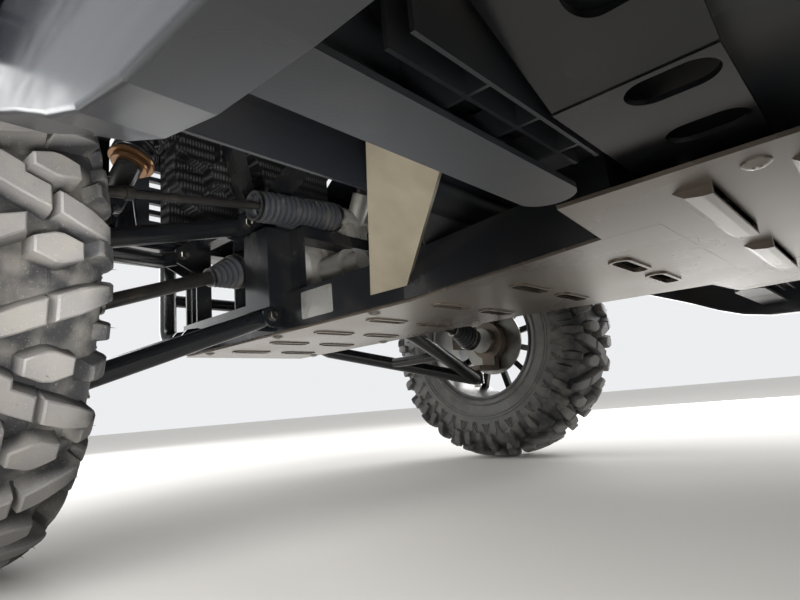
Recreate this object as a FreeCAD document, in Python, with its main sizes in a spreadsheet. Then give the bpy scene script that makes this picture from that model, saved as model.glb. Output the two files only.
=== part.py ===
import FreeCAD, Part
import math
import os
from types import SimpleNamespace

import Sketcher

# Side by side UTV on its four wheels, two seats, tilting cargo bed.
# +X is the vehicle's left, -Y its front, +Z up. The origin is on the ground under the middle.

doc = FreeCAD.newDocument("SideBySide")
sheet = doc.addObject("Spreadsheet::Sheet", "Sizes")

# Driving sizes: name, value in millimetres or degrees, meaning
SIZES = (
    ("overall_length", 2960, "front bumper to rear bumper"),
    ("wheelbase", 2060, "between the axles"),
    ("front_axle_ahead", 1000, "front axle ahead of the middle"),
    ("half_track", 695, "middle of a tyre from the middle of the vehicle"),
    ("tyre_radius", 352, "ground to axle"),
    ("tyre_width", 236, "over the shoulder lugs"),
    ("lug_depth", 20, "tread lug above the carcass"),
    ("tread_pitches", 18, "lug groups round a tyre"),
    ("rim_radius", 178, "bead seat"),
    ("rim_flange", 16, "rim flange above the bead seat"),
    ("rim_width", 192, "over the flanges"),
    ("rim_wall", 8, "barrel wall"),
    ("spoke_count", 10, "spokes in a rim"),
    ("hub_face_out", 0, "rim mounting face outboard of the tyre's middle"),
    ("disc_radius", 104, "brake disc"),
    ("disc_thick", 5, "brake disc"),
    ("kingpin_inboard", 127, "kingpin inboard of the tyre's middle"),
    ("ball_spread", 235, "between the upper and lower ball joints"),
    ("joint_ball", 34, "outer joint of a half shaft"),
    ("steer_arm", 95, "tie rod eye behind the kingpin"),
    ("rail_width", 44, "frame rail across"),
    ("rail_height", 72, "frame rail up"),
    ("frame_bottom", 337, "underside of the frame rails"),
    ("front_rail_x", 157, "middle of the front rails from the centre line"),
    ("mid_rail_x", 212, "middle of the middle rails from the centre line"),
    ("skid_thick", 4, "skid plates"),
    ("front_skid_half", 172, "front skid plate, half width"),
    ("mid_skid_half", 372, "middle skid plate, half width"),
    ("skid_gap", 0.3, "skid plate below the rails"),
    ("bar_size", 32, "square frame bar"),
    ("sheet_thick", 4, "frame sheet and gussets"),
    ("arm_tube", 36, "suspension arm tube"),
    ("bush_radius", 17, "suspension bush"),
    ("bush_length", 46, "suspension bush"),
    ("seat_clear", 0.3, "running clearance at bushes and seats"),
    ("lower_pivot_z", 366, "front lower arm pivots above the ground"),
    ("upper_pivot_z", 568, "front upper arm pivots above the ground"),
    ("arm_front_y", 290, "front pivots ahead of the axle"),
    ("spring_radius", 42, "coil spring outside"),
    ("shaft_radius", 13, "half shaft"),
    ("cage_tube", 48, "roll cage tube"),
    ("cage_bend", 110, "roll cage bend"),
    ("roof_height", 1930, "top of the roof"),
    ("roof_over_cage", 52, "top of the roof above the middle of the cage's top tubes"),
    ("panel_wall", 5, "moulded body panels"),
    ("sill_height", 472, "top of the rocker panels"),
    ("tub_bottom", 372, "underside of the floor tub"),
    ("tub_toe_y", 225, "foot of the toe board ahead of the middle"),
    ("tunnel_half", 250, "tunnel over the frame rails, half width"),
    ("door_thick", 38, "door"),
    ("door_gap", 6, "round a door"),
    ("body_half", 780, "outer face of the doors and fenders"),
    ("sill_inset", 115, "middle of the sill bars inboard of the doors' outer face"),
    ("belt_height", 958, "top of the doors and front fenders"),
    ("arch_radius", 452, "front wheel arch"),
    ("rear_arch_radius", 425, "rear wheel arch"),
    ("bonnet_half", 330, "bonnet, half width"),
    ("bonnet_open", 5, "gap round the bonnet"),
    ("bed_half", 555, "cargo bed outside, half width"),
    ("bed_length", 775, "cargo bed outside"),
    ("bed_front", 668, "front of the cargo bed behind the middle"),
    ("bed_bottom", 768, "underside of the cargo bed"),
    ("bed_height", 305, "cargo bed walls"),
    ("bed_wall", 22, "cargo bed walls"),
    ("tailgate_thick", 26, "tailgate"),
    ("wheel_rim_radius", 178, "steering wheel"),
    ("wheel_tube", 15, "steering wheel rim tube, radius"),
    ("column_angle", 38, "steering column from level"),
    ("seat_width", 500, "seat"),
    ("receiver_bore", 51, "hitch receiver"),
    ("receiver_pin", 16, "hitch receiver pin hole"),
    ("rack_height", 588, "steering rack above the ground"),
    ("rod_radius", 7, "tie rod"),
    ("bellows_radius", 33, "rack bellows"),
    ("bellows_bore", 20, "rack bellows"),
    ("bellows_folds", 15, "folds in a rack bellows"),
    ("rod_play", 6.5, "round the tie rods inside the rack, for their swing"),
)
for row, (alias, value, meaning) in enumerate(SIZES, start=1):
    sheet.set("A%d" % row, str(value))
    sheet.setAlias("A%d" % row, alias)
    sheet.set("B%d" % row, meaning)
doc.recompute()
size = SimpleNamespace(**{alias: float(sheet.get(alias)) for alias, value, meaning in SIZES})

Vector = FreeCAD.Vector
X_AXIS = Vector(1, 0, 0)
Y_AXIS = Vector(0, 1, 0)
Z_AXIS = Vector(0, 0, 1)
nodes = []

# Places worked out from the driving sizes
front_y = -size.front_axle_ahead
rear_y = size.wheelbase - size.front_axle_ahead
axle_z = size.tyre_radius
kingpin_x = size.half_track - size.kingpin_inboard
upper_ball_z = axle_z + size.ball_spread / 2
lower_ball_z = axle_z - size.ball_spread / 2
rail_top = size.frame_bottom + size.rail_height
sill_x = size.body_half - size.sill_inset
seat_x = (sill_x - 29) / 2


def number(expression):
    """Value of an expression over the sheet; a plain number passes through."""
    return float(sheet.evalExpression(str(expression)))


def keep(thing, label):
    """Name a finished sub-part."""
    thing.Label = label
    nodes.append(thing)
    return thing


def feature(label, shape):
    """A sub-part whose form is worked out by the functions below."""
    thing = doc.addObject("Part::Feature", label)
    thing.Shape = shape
    return keep(thing, label)


def new_body(label, kept=True):
    body = doc.addObject("PartDesign::Body", label)
    return keep(body, label) if kept else body


def mirror_of(source, name):
    """The right-hand twin of a left-hand piece."""
    twin = doc.addObject("Part::Mirroring", name)
    twin.Source = source
    twin.Normal = X_AXIS
    twin.Base = Vector(0, 0, 0)
    return twin


def pair_of(source, label):
    """A left piece and its right twin in one sub-part, as two solids."""
    both = doc.addObject("Part::Compound", label)
    both.Links = [source, mirror_of(source, label + "_twin")]
    return keep(both, label)


def cut_by(source, shape, label):
    """A sub-part cleared by other pieces that pass through it."""
    tool = doc.addObject("Part::Feature", label + "_clearance")
    tool.Shape = shape
    made = doc.addObject("Part::Cut", label)
    made.Base = source
    made.Tool = tool
    return made


def outline(body, role, offset, corners, name):
    """Closed sketch of straight sides in one of the body's planes, each corner bound to the sheet."""
    plane = [item for item in body.Origin.OriginFeatures if item.Role == role][0]
    sketch = body.newObject("Sketcher::SketchObject", name)
    sketch.AttachmentSupport = [(plane, "")]
    sketch.MapMode = "FlatFace"
    sketch.setExpression(".AttachmentOffset.Base.z", str(offset))
    places = [Vector(number(across), number(along), 0) for across, along in corners]
    count = len(places)
    for index in range(count):
        sketch.addGeometry(Part.LineSegment(places[index], places[(index + 1) % count]), False)
    for index in range(count):
        sketch.addConstraint(Sketcher.Constraint("Coincident", index, 2, (index + 1) % count, 1))
    for index, (across, along) in enumerate(corners):
        for kind, text, value in (
            ("DistanceX", across, places[index].x),
            ("DistanceY", along, places[index].y),
        ):
            made = sketch.addConstraint(Sketcher.Constraint(kind, -1, 1, index, 1, value))
            sketch.setExpression("Constraints[%d]" % made, str(text))
    return sketch


def pad(body, role, offset, depth, corners, name="pad"):
    """Outline raised along the plane's positive normal."""
    step = body.newObject("PartDesign::Pad", name)
    step.Profile = outline(body, role, offset, corners, name + "_outline")
    step.setExpression("Length", str(depth))
    doc.recompute()
    return step


def pocket(body, role, offset, depth, corners, name="pocket"):
    """Outline cut along the plane's positive normal; it has to take volume away."""
    before = body.Shape.Volume
    step = body.newObject("PartDesign::Pocket", name)
    step.Profile = outline(body, role, offset, corners, name + "_outline")
    step.Reversed = True
    step.setExpression("Length", str(depth))
    doc.recompute()
    assert body.Shape.Volume < before - 1, body.Label + " " + name
    return step


def row_of(body, step, role, axis, length, count):
    """Repeats a step in a straight row."""
    line = [item for item in body.Origin.OriginFeatures if item.Role == axis][0]
    pattern = body.newObject("PartDesign::LinearPattern", step.Name + "_row")
    pattern.Originals = [step]
    pattern.Direction = (line, [""])
    pattern.setExpression("Length", str(length))
    pattern.Occurrences = count
    body.Tip = pattern
    doc.recompute()
    return pattern


def rounded(body, radius, chosen, name="rounded"):
    """Fillet on the edges that the test picks."""
    last = body.Tip
    edges = ["Edge%d" % (index + 1) for index, edge in enumerate(last.Shape.Edges) if chosen(edge)]
    step = body.newObject("PartDesign::Fillet", name)
    step.Base = (last, edges)
    step.setExpression("Radius", str(radius))
    doc.recompute()
    return step


def along(edge, axis):
    """True for a straight edge that runs along an axis."""
    if not isinstance(edge.Curve, Part.Line):
        return False
    return abs(abs(edge.tangentAt(edge.FirstParameter).dot(axis)) - 1) < 1e-6


def middle(edge):
    return edge.valueAt((edge.FirstParameter + edge.LastParameter) / 2)


def box(x_low, x_high, y_low, y_high, z_low, z_high):
    return Part.makeBox(
        x_high - x_low, y_high - y_low, z_high - z_low, Vector(x_low, y_low, z_low)
    )


def rod(start, end, radius):
    """Round bar between two points."""
    return Part.makeCylinder(radius, (end - start).Length, start, end - start)


def bar(start, end, wide, tall):
    """Square bar between two points, its width level and its height in the upright plane."""
    way = end - start
    length = way.Length
    way.normalize()
    level = way.cross(Z_AXIS)
    if level.Length < 1e-6:
        level = X_AXIS
    level.normalize()
    upright = level.cross(way)
    corners = [
        start + level * (wide / 2 * a) + upright * (tall / 2 * b)
        for a, b in ((1, 1), (-1, 1), (-1, -1), (1, -1))
    ]
    face = Part.Face(Part.makePolygon(corners + corners[:1]))
    return face.extrude(way * length)


def prism(points, way):
    """Flat outline carried along a vector."""
    return Part.Face(Part.makePolygon(points + points[:1])).extrude(way)


def bent_path(points, radius):
    """Straight runs joined by tangent arcs of one radius."""
    edges = []
    start = points[0]
    for index in range(1, len(points) - 1):
        corner = points[index]
        back = (points[index - 1] - corner).normalize()
        ahead = (points[index + 1] - corner).normalize()
        half = math.acos(max(-1, min(1, back.dot(ahead)))) / 2
        reach = radius / math.tan(half)
        first = corner + back * reach
        last = corner + ahead * reach
        inward = (back + ahead).normalize()
        top = corner + inward * (radius / math.sin(half) - radius)
        edges.append(Part.makeLine(start, first))
        edges.append(Part.Arc(first, top, last).toShape())
        start = last
    edges.append(Part.makeLine(start, points[-1]))
    return Part.Wire(edges)


def tube(points, radius, bend):
    """Round tube along straight runs and bends."""
    path = bent_path(points, bend)
    way = points[1] - points[0]
    ring = Part.Wire([Part.makeCircle(radius, points[0], way)])
    return path.makePipe(Part.Face(ring))


def fused(shapes):
    shape = shapes[0].multiFuse(shapes[1:]) if len(shapes) > 1 else shapes[0]
    return shape.removeSplitter()


def mirrored(shape):
    return shape.mirror(Vector(0, 0, 0), X_AXIS)


def both_sides(shape):
    """A left piece and its right twin, as two solids."""
    return Part.makeCompound([shape, mirrored(shape)])


def turned(points, start, axis):
    """Solid of revolution: each point is (distance along the axis, radius)."""
    way = Vector(axis).normalize()
    side = way.cross(Z_AXIS)
    if side.Length < 1e-6:
        side = way.cross(X_AXIS)
    side.normalize()
    corners = [start + way * along_axis + side * radius for along_axis, radius in points]
    return Part.Face(Part.makePolygon(corners + corners[:1])).revolve(start, way, 360)


# Tyres: a carcass of flat facets, one for each pitch, with shoulder and centre lugs
def tyre_shape():
    pitches = int(size.tread_pitches)
    step = 2 * math.pi / pitches
    half = size.tyre_width / 2
    ground = size.tyre_radius
    carcass = ground - size.lug_depth
    bead = size.rim_radius + size.seat_clear
    bead_half = size.rim_width / 2 - 10
    section = (
        (-bead_half, bead),
        (-bead_half - 8, bead + 22),
        (-half + 4, bead + 84),
        (-half + 12, carcass - 26),
        (-half + 30, carcass),
        (half - 30, carcass),
        (half - 12, carcass - 26),
        (half - 4, bead + 84),
        (bead_half + 8, bead + 22),
        (bead_half, bead),
    )

    def place(x_at, radius, angle):
        reach = radius / math.cos(step / 2)
        return Vector(x_at, reach * math.sin(angle), -reach * math.cos(angle))

    faces = []
    for index in range(pitches):
        low = (index - 0.5) * step
        high = (index + 0.5) * step
        for first, second in zip(section, section[1:] + section[:1]):
            corners = [
                place(first[0], first[1], low),
                place(second[0], second[1], low),
                place(second[0], second[1], high),
                place(first[0], first[1], high),
            ]
            faces.append(Part.Face(Part.makePolygon(corners + corners[:1])))
    carcass_solid = Part.makeSolid(Part.makeShell(faces))
    if carcass_solid.Volume < 0:
        carcass_solid.reverse()
    # One lug a pitch on each side, wider at the shoulder, the sides half a pitch apart
    middle_gap = 18
    inner_half = 17
    outer_half = 27
    root = carcass - 34
    lugs = []
    for index in range(pitches):
        for side in (1, -1):
            angle = math.degrees((index + (0.5 if side < 0 else 0)) * step)
            corners = [
                Vector(side * middle_gap, -inner_half, -ground),
                Vector(side * (half - 3), -outer_half, -ground),
                Vector(side * (half - 3), outer_half, -ground),
                Vector(side * middle_gap, inner_half, -ground),
            ]
            lug = prism(corners, Vector(0, 0, ground - root))
            lug.rotate(Vector(0, 0, 0), X_AXIS, angle)
            lugs.append(lug)
    return carcass_solid.multiFuse(lugs).removeSplitter()


def wheel_places():
    """Each wheel: name, side, axle position along the vehicle."""
    for name, side, axle in (
        ("front_left", 1, front_y),
        ("front_right", -1, front_y),
        ("rear_left", 1, rear_y),
        ("rear_right", -1, rear_y),
    ):
        yield name, side, axle


def at_wheel(thing, side, axle):
    """Put a wheel piece, modelled about its own axis with +X outboard, in its place."""
    turn = FreeCAD.Rotation(Z_AXIS, 0 if side > 0 else 180)
    thing.Placement = FreeCAD.Placement(Vector(side * size.half_track, axle, axle_z), turn)


def rim_shape():
    """Rim: barrel with two flanges, a dished disc of spokes and a centre with its bolt circle."""
    half = size.rim_width / 2
    seat = size.rim_radius
    wall = size.rim_wall
    barrel = turned(
        (
            (-half, seat - wall),
            (-half, seat + size.rim_flange),
            (-half + 10, seat),
            (half - 10, seat),
            (half, seat + size.rim_flange),
            (half, seat - wall),
        ),
        Vector(0, 0, 0),
        X_AXIS,
    )
    face = size.hub_face_out
    centre = turned(
        ((face, 34), (face, 72), (face + 14, 60), (face + 14, 34)), Vector(0, 0, 0), X_AXIS
    )
    spokes = []
    count = int(size.spoke_count)
    for index in range(count):
        reach = seat - wall / 2
        spoke = prism(
            [
                Vector(face + 2, -9, 55),
                Vector(half - 34, -13, reach),
                Vector(half - 16, -13, reach),
                Vector(face + 14, -9, 55),
            ],
            Vector(0, 18, 0),
        )
        spoke.rotate(Vector(0, 0, 0), X_AXIS, 360 / count * index)
        spokes.append(spoke)
    shape = fused([barrel, centre] + spokes)
    for index in range(4):
        hole = Part.makeCylinder(6, 40, Vector(face - 10, 0, 55), X_AXIS)
        hole.rotate(Vector(0, 0, 0), X_AXIS, 45 + 90 * index)
        shape = shape.cut(hole)
    return shape


def hub_shape(front):
    """Hub: flange, brake disc, spindle and the bell of the outer half-shaft joint."""
    face = size.hub_face_out - size.seat_clear
    bell = -size.kingpin_inboard + size.joint_ball + 8
    if not front:
        bell = face - 62
    return turned(
        (
            (bell, 0),
            (bell, 38),
            (face - 62, 38),
            (face - 58, 24),
            (face - 17 - size.disc_thick, 24),
            (face - 17 - size.disc_thick, size.disc_radius),
            (face - 17, size.disc_radius),
            (face - 12, 68),
            (face, 68),
            (face, 32),
            (face + 22, 30),
            (face + 22, 0),
        ),
        Vector(0, 0, 0),
        X_AXIS,
    )


tyre = tyre_shape()
rim = rim_shape()
for name, side, axle in wheel_places():
    at_wheel(feature("tyre_" + name, tyre), side, axle)
    at_wheel(feature("rim_" + name, rim), side, axle)
    at_wheel(feature("hub_" + name, hub_shape(axle == front_y)), side, axle)


# Front knuckles: bearing carrier, ball joint lugs, steering arm and caliper, one casting each
def knuckle_shape(front):
    inner = size.half_track - 54
    outer = size.half_track - 26
    carrier = turned(
        ((0, 24.5), (0, 56), (outer - inner, 56), (outer - inner, 24.5)),
        Vector(inner, 0, 0),
        X_AXIS,
    )
    parts = [carrier]
    for up in (1, -1):
        ball = size.ball_spread / 2 * up
        near = ball - up * 30
        parts.append(
            prism(
                [
                    Vector(inner, -22, up * 48),
                    Vector(outer, -22, up * 48),
                    Vector(outer - 6, -22, near + up * 4),
                    Vector(kingpin_x - 12, -22, near + up * 4),
                    Vector(kingpin_x - 12, -22, near - up * 10),
                    Vector(inner, -22, near - up * 10),
                ],
                Vector(0, 44, 0),
            )
        )
        parts.append(rod(Vector(kingpin_x, 0, near), Vector(kingpin_x, 0, ball + up * 16), 8))
    if front:
        arm_top = size.ball_spread / 2 + 48
        parts.append(
            prism(
                [
                    Vector(kingpin_x - 12, 10, arm_top - 88),
                    Vector(kingpin_x - 12, 60, arm_top - 88),
                    Vector(kingpin_x - 12, size.steer_arm + 15, arm_top - 12),
                    Vector(kingpin_x - 12, size.steer_arm + 15, arm_top),
                    Vector(kingpin_x - 12, size.steer_arm - 15, arm_top),
                    Vector(kingpin_x - 12, size.steer_arm - 22, arm_top - 14),
                    Vector(kingpin_x - 12, 40, arm_top - 66),
                    Vector(kingpin_x - 12, 10, arm_top - 66),
                ],
                Vector(24, 0, 0),
            )
        )
    caliper = box(inner + 2, size.half_track - 6, -132, -46, -10, 52)
    slot = Part.makeCylinder(
        size.disc_radius + 6, 17 + size.disc_thick, Vector(size.half_track - 28 - size.disc_thick, 0, 0), X_AXIS
    )
    flange_room = Part.makeCylinder(74, 60, Vector(size.half_track - 33, 0, 0), X_AXIS)
    parts.append(caliper.cut([slot, flange_room]))
    return fused(parts)


front_knuckle = knuckle_shape(True)
front_knuckle.translate(Vector(0, front_y, axle_z))
feature("knuckle_left", front_knuckle)
feature("knuckle_right", mirrored(front_knuckle))


# Suspension: pivots, arms, coil-overs and half shafts, all worked out on the left side
pivot_x = size.front_rail_x + size.rail_width / 2 + 20
upper_pivot_x = pivot_x + 12
front_pivot_y = front_y - size.arm_front_y
lower_rear_pivot = Vector(pivot_x, front_y + 40, size.lower_pivot_z)
lower_front_pivot = Vector(pivot_x, front_pivot_y, size.lower_pivot_z)
upper_rear_pivot = Vector(upper_pivot_x, front_y - 16, size.upper_pivot_z)
upper_front_pivot = Vector(upper_pivot_x, front_pivot_y, size.upper_pivot_z)
upper_ball = Vector(kingpin_x, front_y, upper_ball_z)
lower_ball = Vector(kingpin_x, front_y, lower_ball_z)
shock_foot = Vector(upper_pivot_x + 262, front_y - 48, size.upper_pivot_z - 32)
shock_top = Vector(upper_pivot_x + 118, front_y - 48, size.upper_pivot_z + 330)

rear_pivot_x = size.mid_rail_x + size.rail_width / 2 + 20
rear_lower_pivots = (
    Vector(rear_pivot_x, rear_y - 330, size.lower_pivot_z + 14),
    Vector(rear_pivot_x, rear_y + 130, size.lower_pivot_z + 14),
)
rear_upper_pivots = (
    Vector(rear_pivot_x + 6, rear_y - 75, size.upper_pivot_z),
    Vector(rear_pivot_x + 6, rear_y + 130, size.upper_pivot_z),
)
rear_upper_ball = Vector(kingpin_x, rear_y, upper_ball_z)
rear_lower_ball = Vector(kingpin_x, rear_y, lower_ball_z)
rear_shock_foot = Vector(rear_pivot_x + 196, rear_y - 124, size.lower_pivot_z - 30)
rear_shock_top = Vector(rear_pivot_x + 76, rear_y - 124, size.lower_pivot_z + 350)


def bush(pivot):
    """Rubber bush in its eye, lying along the vehicle."""
    half = size.bush_length / 2
    return rod(pivot - Y_AXIS * half, pivot + Y_AXIS * half, size.bush_radius)


def ball_end(ball):
    """Boss that holds a ball joint, bored for its pin."""
    return rod(ball - Z_AXIS * 14, ball + Z_AXIS * 14, 21)


def arm(pivots, ball, bridge):
    """Two tubes from the bushes to the ball joint boss, with a cross tube between them."""
    front, rear = pivots
    radius = size.arm_tube / 2
    parts = [bush(front), bush(rear), ball_end(ball)]
    reach = (ball - front).x
    knees = [pivot + Vector(48, 0, (ball - pivot).z * 48 / reach) for pivot in pivots]
    for pivot, knee in zip(pivots, knees):
        parts.append(rod(pivot, knee, radius))
        parts.append(Part.makeSphere(radius, knee))
        parts.append(rod(knee, ball, radius))
    first, second = knees
    parts.append(rod(first + (ball - first) * bridge, second + (ball - second) * bridge, radius - 4))
    shape = fused(parts)
    pin = rod(ball - Z_AXIS * 60, ball + Z_AXIS * 60, 8 + size.seat_clear)
    for pivot in pivots:
        shape = shape.cut(rod(pivot - Y_AXIS * 40, pivot + Y_AXIS * 40, 6.5))
    return shape.cut(pin)


def shock_ears(eye, way, depth):
    """Two sheet ears with a bolt that hold a coil-over's eye between them."""
    side = way.cross(Y_AXIS).normalize()
    parts = []
    for offset in (-17, 13):
        base = eye + Y_AXIS * offset
        parts.append(
            prism(
                [
                    base - side * 18 - way * 16,
                    base + side * 18 - way * 16,
                    base + side * 22 + way * depth,
                    base - side * 22 + way * depth,
                ],
                Y_AXIS * 4,
            )
        )
    parts.append(rod(eye - Y_AXIS * 22, eye + Y_AXIS * 22, 6))
    return parts


front_shock_way = (shock_top - shock_foot).normalize()
rear_shock_way = (rear_shock_top - rear_shock_foot).normalize()
lower_arm = arm((lower_front_pivot, lower_rear_pivot), lower_ball, 0.42)
upper_arm = fused(
    [arm((upper_front_pivot, upper_rear_pivot), upper_ball, 0.68)]
    + shock_ears(shock_foot, front_shock_way * -1, 30)
)
feature("front_arms", Part.makeCompound([lower_arm, upper_arm, mirrored(lower_arm), mirrored(upper_arm)]))


def coil_over(foot, top, coils):
    """Damper body with its reservoir end below, the spring round the rod above, and both eyes."""
    way = (top - foot).normalize()
    length = (top - foot).Length
    eye_radius = 19
    body_radius = 24
    body_end = length * 0.46
    wide = size.spring_radius
    spring_low = body_end - 34
    spring_high = length - 54
    neck_radius = 12.4
    neck_end = 34
    pitch = (spring_high - spring_low) / coils
    points = [(14, 0), (14, neck_radius), (neck_end, neck_radius), (neck_end + 6, body_radius)]
    points += [(spring_low - 16, body_radius)]
    points += [(spring_low - 16, wide + 1), (spring_low, wide + 1)]
    for index in range(coils):
        low = spring_low + pitch * index
        points.append((low + pitch * 0.14, wide - 11))
        points.append((low + pitch * 0.36, wide))
        points.append((low + pitch * 0.70, wide))
        points.append((low + pitch * 0.92, wide - 11))
    points += [(spring_high, wide + 1), (spring_high + 12, wide + 1)]
    points += [(spring_high + 12, 22), (length - neck_end, neck_radius)]
    points += [(length - 14, neck_radius), (length - 14, 0)]
    parts = [turned(points, foot, way)]
    for eye in (foot, top):
        parts.append(rod(eye - Y_AXIS * 12.7, eye + Y_AXIS * 12.7, eye_radius))
    shape = fused(parts)
    for eye in (foot, top):
        shape = shape.cut(rod(eye - Y_AXIS * 30, eye + Y_AXIS * 30, 6 + size.seat_clear))
    return shape


front_coil_over = coil_over(shock_foot, shock_top, 6)
rear_coil_over = coil_over(rear_shock_foot, rear_shock_top, 6)
feature(
    "coil_overs",
    Part.makeCompound([front_coil_over, mirrored(front_coil_over), rear_coil_over, mirrored(rear_coil_over)]),
)

rear_lower = fused(
    [arm(rear_lower_pivots, rear_lower_ball, 0.45)]
    + shock_ears(rear_shock_foot, rear_shock_way * -1, 26)
)
rear_upper = arm(rear_upper_pivots, rear_upper_ball, 0.6)
feature("rear_arms", Part.makeCompound([rear_lower, rear_upper, mirrored(rear_lower), mirrored(rear_upper)]))

rear_knuckle = knuckle_shape(False)
rear_knuckle.translate(Vector(0, rear_y, axle_z))
feature("rear_knuckles", both_sides(rear_knuckle))

front_cup = Vector(209.5, front_y - 45, 478)
rear_cup = Vector(168, rear_y, 468)


def half_shaft(cup, out):
    """Shaft with the inner joint's cup, both rubber boots and the outer joint's ball."""
    way = out - cup
    length = way.Length
    ball = size.joint_ball
    shape = turned(
        (
            (-46, 0),
            (-46, 36),
            (6, 37),
            (13, 33),
            (21, 36),
            (29, 27),
            (37, 31),
            (45, 22),
            (53, 26),
            (61, 18),
            (74, size.shaft_radius),
            (length - 96, size.shaft_radius),
            (length - 84, 20),
            (length - 76, 19),
            (length - 66, 26),
            (length - 57, 23),
            (length - 47, 31),
            (length - 38, 27),
            (length - 28, 35),
            (length, ball - 2),
            (length, 0),
        ),
        cup,
        way,
    )
    return shape.fuse(Part.makeSphere(ball, out)).removeSplitter()


front_axle_end = Vector(kingpin_x, front_y, axle_z)
rear_axle_end = Vector(kingpin_x, rear_y, axle_z)
front_shaft = half_shaft(front_cup, front_axle_end)
rear_shaft = half_shaft(rear_cup, rear_axle_end)
left_shafts = Part.makeCompound([front_shaft, rear_shaft])
feature("half_shafts", Part.makeCompound([left_shafts, mirrored(left_shafts)]))


# Front differential: finned casting with a cover, two output stubs and mounting lugs
diff_middle = Vector(20, front_y - 45, 485)
case_section = (
    (-96, 0), (-96, 34), (-70, 40), (-46, 80), (-20, 88), (-8, 88), (-8, 96), (8, 96), (8, 88), (22, 88),
    (44, 74), (64, 40), (92, 34), (92, 0),
)
case = turned(case_section, diff_middle, X_AXIS)
diff_parts = [case]
for turn_degrees in (90, 210, 330):
    turn_rad = math.radians(turn_degrees)
    tip = diff_middle + Vector(0, math.cos(turn_rad) * 88, math.sin(turn_rad) * 88)
    diff_parts.append(bar(diff_middle + X_AXIS * 44, tip + X_AXIS * 32, 14, 14))
diff_parts.append(rod(diff_middle, diff_middle + Y_AXIS * 150, 34))
diff_parts.append(rod(diff_middle, diff_middle + Y_AXIS * 190, 20))
diff_shape = fused(diff_parts)
out_way = (front_axle_end - front_cup).normalize()
left_stub = rod(diff_middle + X_AXIS * 60, front_cup - out_way * (46 + size.seat_clear), 17)
right_end = front_cup - out_way * (46 + size.seat_clear)
right_stub = rod(diff_middle - X_AXIS * 60, Vector(-right_end.x, right_end.y, right_end.z), 17)
cup_clear = both_sides(rod(front_cup - out_way * (46 + size.seat_clear), front_cup + out_way * 30, 44))
diff_shape = fused([diff_shape, left_stub, right_stub]).cut(cup_clear)
feature("front_differential", diff_shape)

# Rear final drive under the engine's tail
drive_middle = Vector(0, rear_y, 470)
drive_shape = fused(
    [
        turned(
            ((-118, 0), (-118, 40), (-60, 78), (-30, 104), (30, 104), (60, 78), (118, 40), (118, 0)),
            drive_middle,
            X_AXIS,
        ),
        rod(drive_middle, drive_middle - Y_AXIS * 108, 60),
    ]
)
rear_way = (rear_axle_end - rear_cup).normalize()
rear_stub = rod(drive_middle + X_AXIS * 60, rear_cup - rear_way * (46 + size.seat_clear), 17)
rear_clear = rod(rear_cup - rear_way * (46 + size.seat_clear), rear_cup + rear_way * 30, 44)
drive_shape = fused([drive_shape, rear_stub, mirrored(rear_stub)]).cut(both_sides(rear_clear))
feature("rear_final_drive", drive_shape)

# Steering rack, its bellows, and the bar with both tie rods
rack_y = front_y + size.steer_arm
housing_end = 31
boot_in = housing_end + 14
boot_out = 252
inner_joint = 122
pinion_x = -10
rack_axis = Vector(0, rack_y, size.rack_height)
rod_eye = Vector(kingpin_x, rack_y, upper_ball_z + 48 + 12.5)
rod_start = rack_axis + X_AXIS * inner_joint
rod_way = (rod_eye - rod_start).normalize()
bellows_start = rack_axis + X_AXIS * boot_in
bellows_end = rod_start + rod_way * ((boot_out - inner_joint) / rod_way.x)
bellows_way = (bellows_end - bellows_start).normalize()
pinion_low = rack_axis + Vector(pinion_x, -10, -30)
pinion_high = rack_axis + Vector(pinion_x, 34, 56)
neck = rod(bellows_start - bellows_way * 18, bellows_start - bellows_way * size.seat_clear, 25)
rack_parts = [
    neck,
    mirrored(neck),
    rod(rack_axis - X_AXIS * housing_end, rack_axis + X_AXIS * housing_end, 25),
    rod(pinion_low, pinion_high, 21),
]
for side in (-1, 1):
    foot_x = side * (housing_end - 12)
    rack_parts.append(
        box(foot_x - 9, foot_x + 9, rack_y - 22, rack_y + 22, size.rack_height - 44, size.rack_height)
    )
rack_bore = rod(rack_axis - X_AXIS * 200, rack_axis + X_AXIS * 200, size.rod_radius + size.rod_play)
feature("steering_rack", fused(rack_parts).cut(rack_bore))


def bellows():
    """Rubber bellows: a row of folds round the tie rod's inner end, open for the rod's travel."""
    length = (bellows_end - bellows_start).Length
    folds = int(size.bellows_folds)
    pitch = (length - 12) / folds
    outer = size.bellows_radius
    points = [(0, size.bellows_bore), (0, outer - 4), (6, outer - 4)]
    for index in range(folds):
        points.append((6 + pitch * (index + 0.15), outer - 6))
        points.append((6 + pitch * (index + 0.5), outer))
        points.append((6 + pitch * (index + 0.85), outer - 6))
    points += [(length - 6, outer - 8), (length, outer - 8), (length, size.bellows_bore)]
    return turned(points, bellows_start, bellows_way)


feature("rack_bellows", both_sides(bellows()))


def tie_rod():
    """Tie rod from the rack's end to its eye, with the lock nut and the threaded end."""
    parts = [
        rod(rod_start, rod_eye, size.rod_radius),
        rod(rod_eye - rod_way * 92, rod_eye - rod_way * 80, 12),
        rod(rod_eye - rod_way * 80, rod_eye, 9.5),
        rod(rod_eye - Z_AXIS * 12, rod_eye + Z_AXIS * 12, 15),
    ]
    return fused(parts)


left_rod = tie_rod()
rack_bar = rod(rack_axis - X_AXIS * inner_joint, rack_axis + X_AXIS * inner_joint, size.rod_radius)
feature("tie_rods", fused([rack_bar, left_rod, mirrored(left_rod)]))


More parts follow.
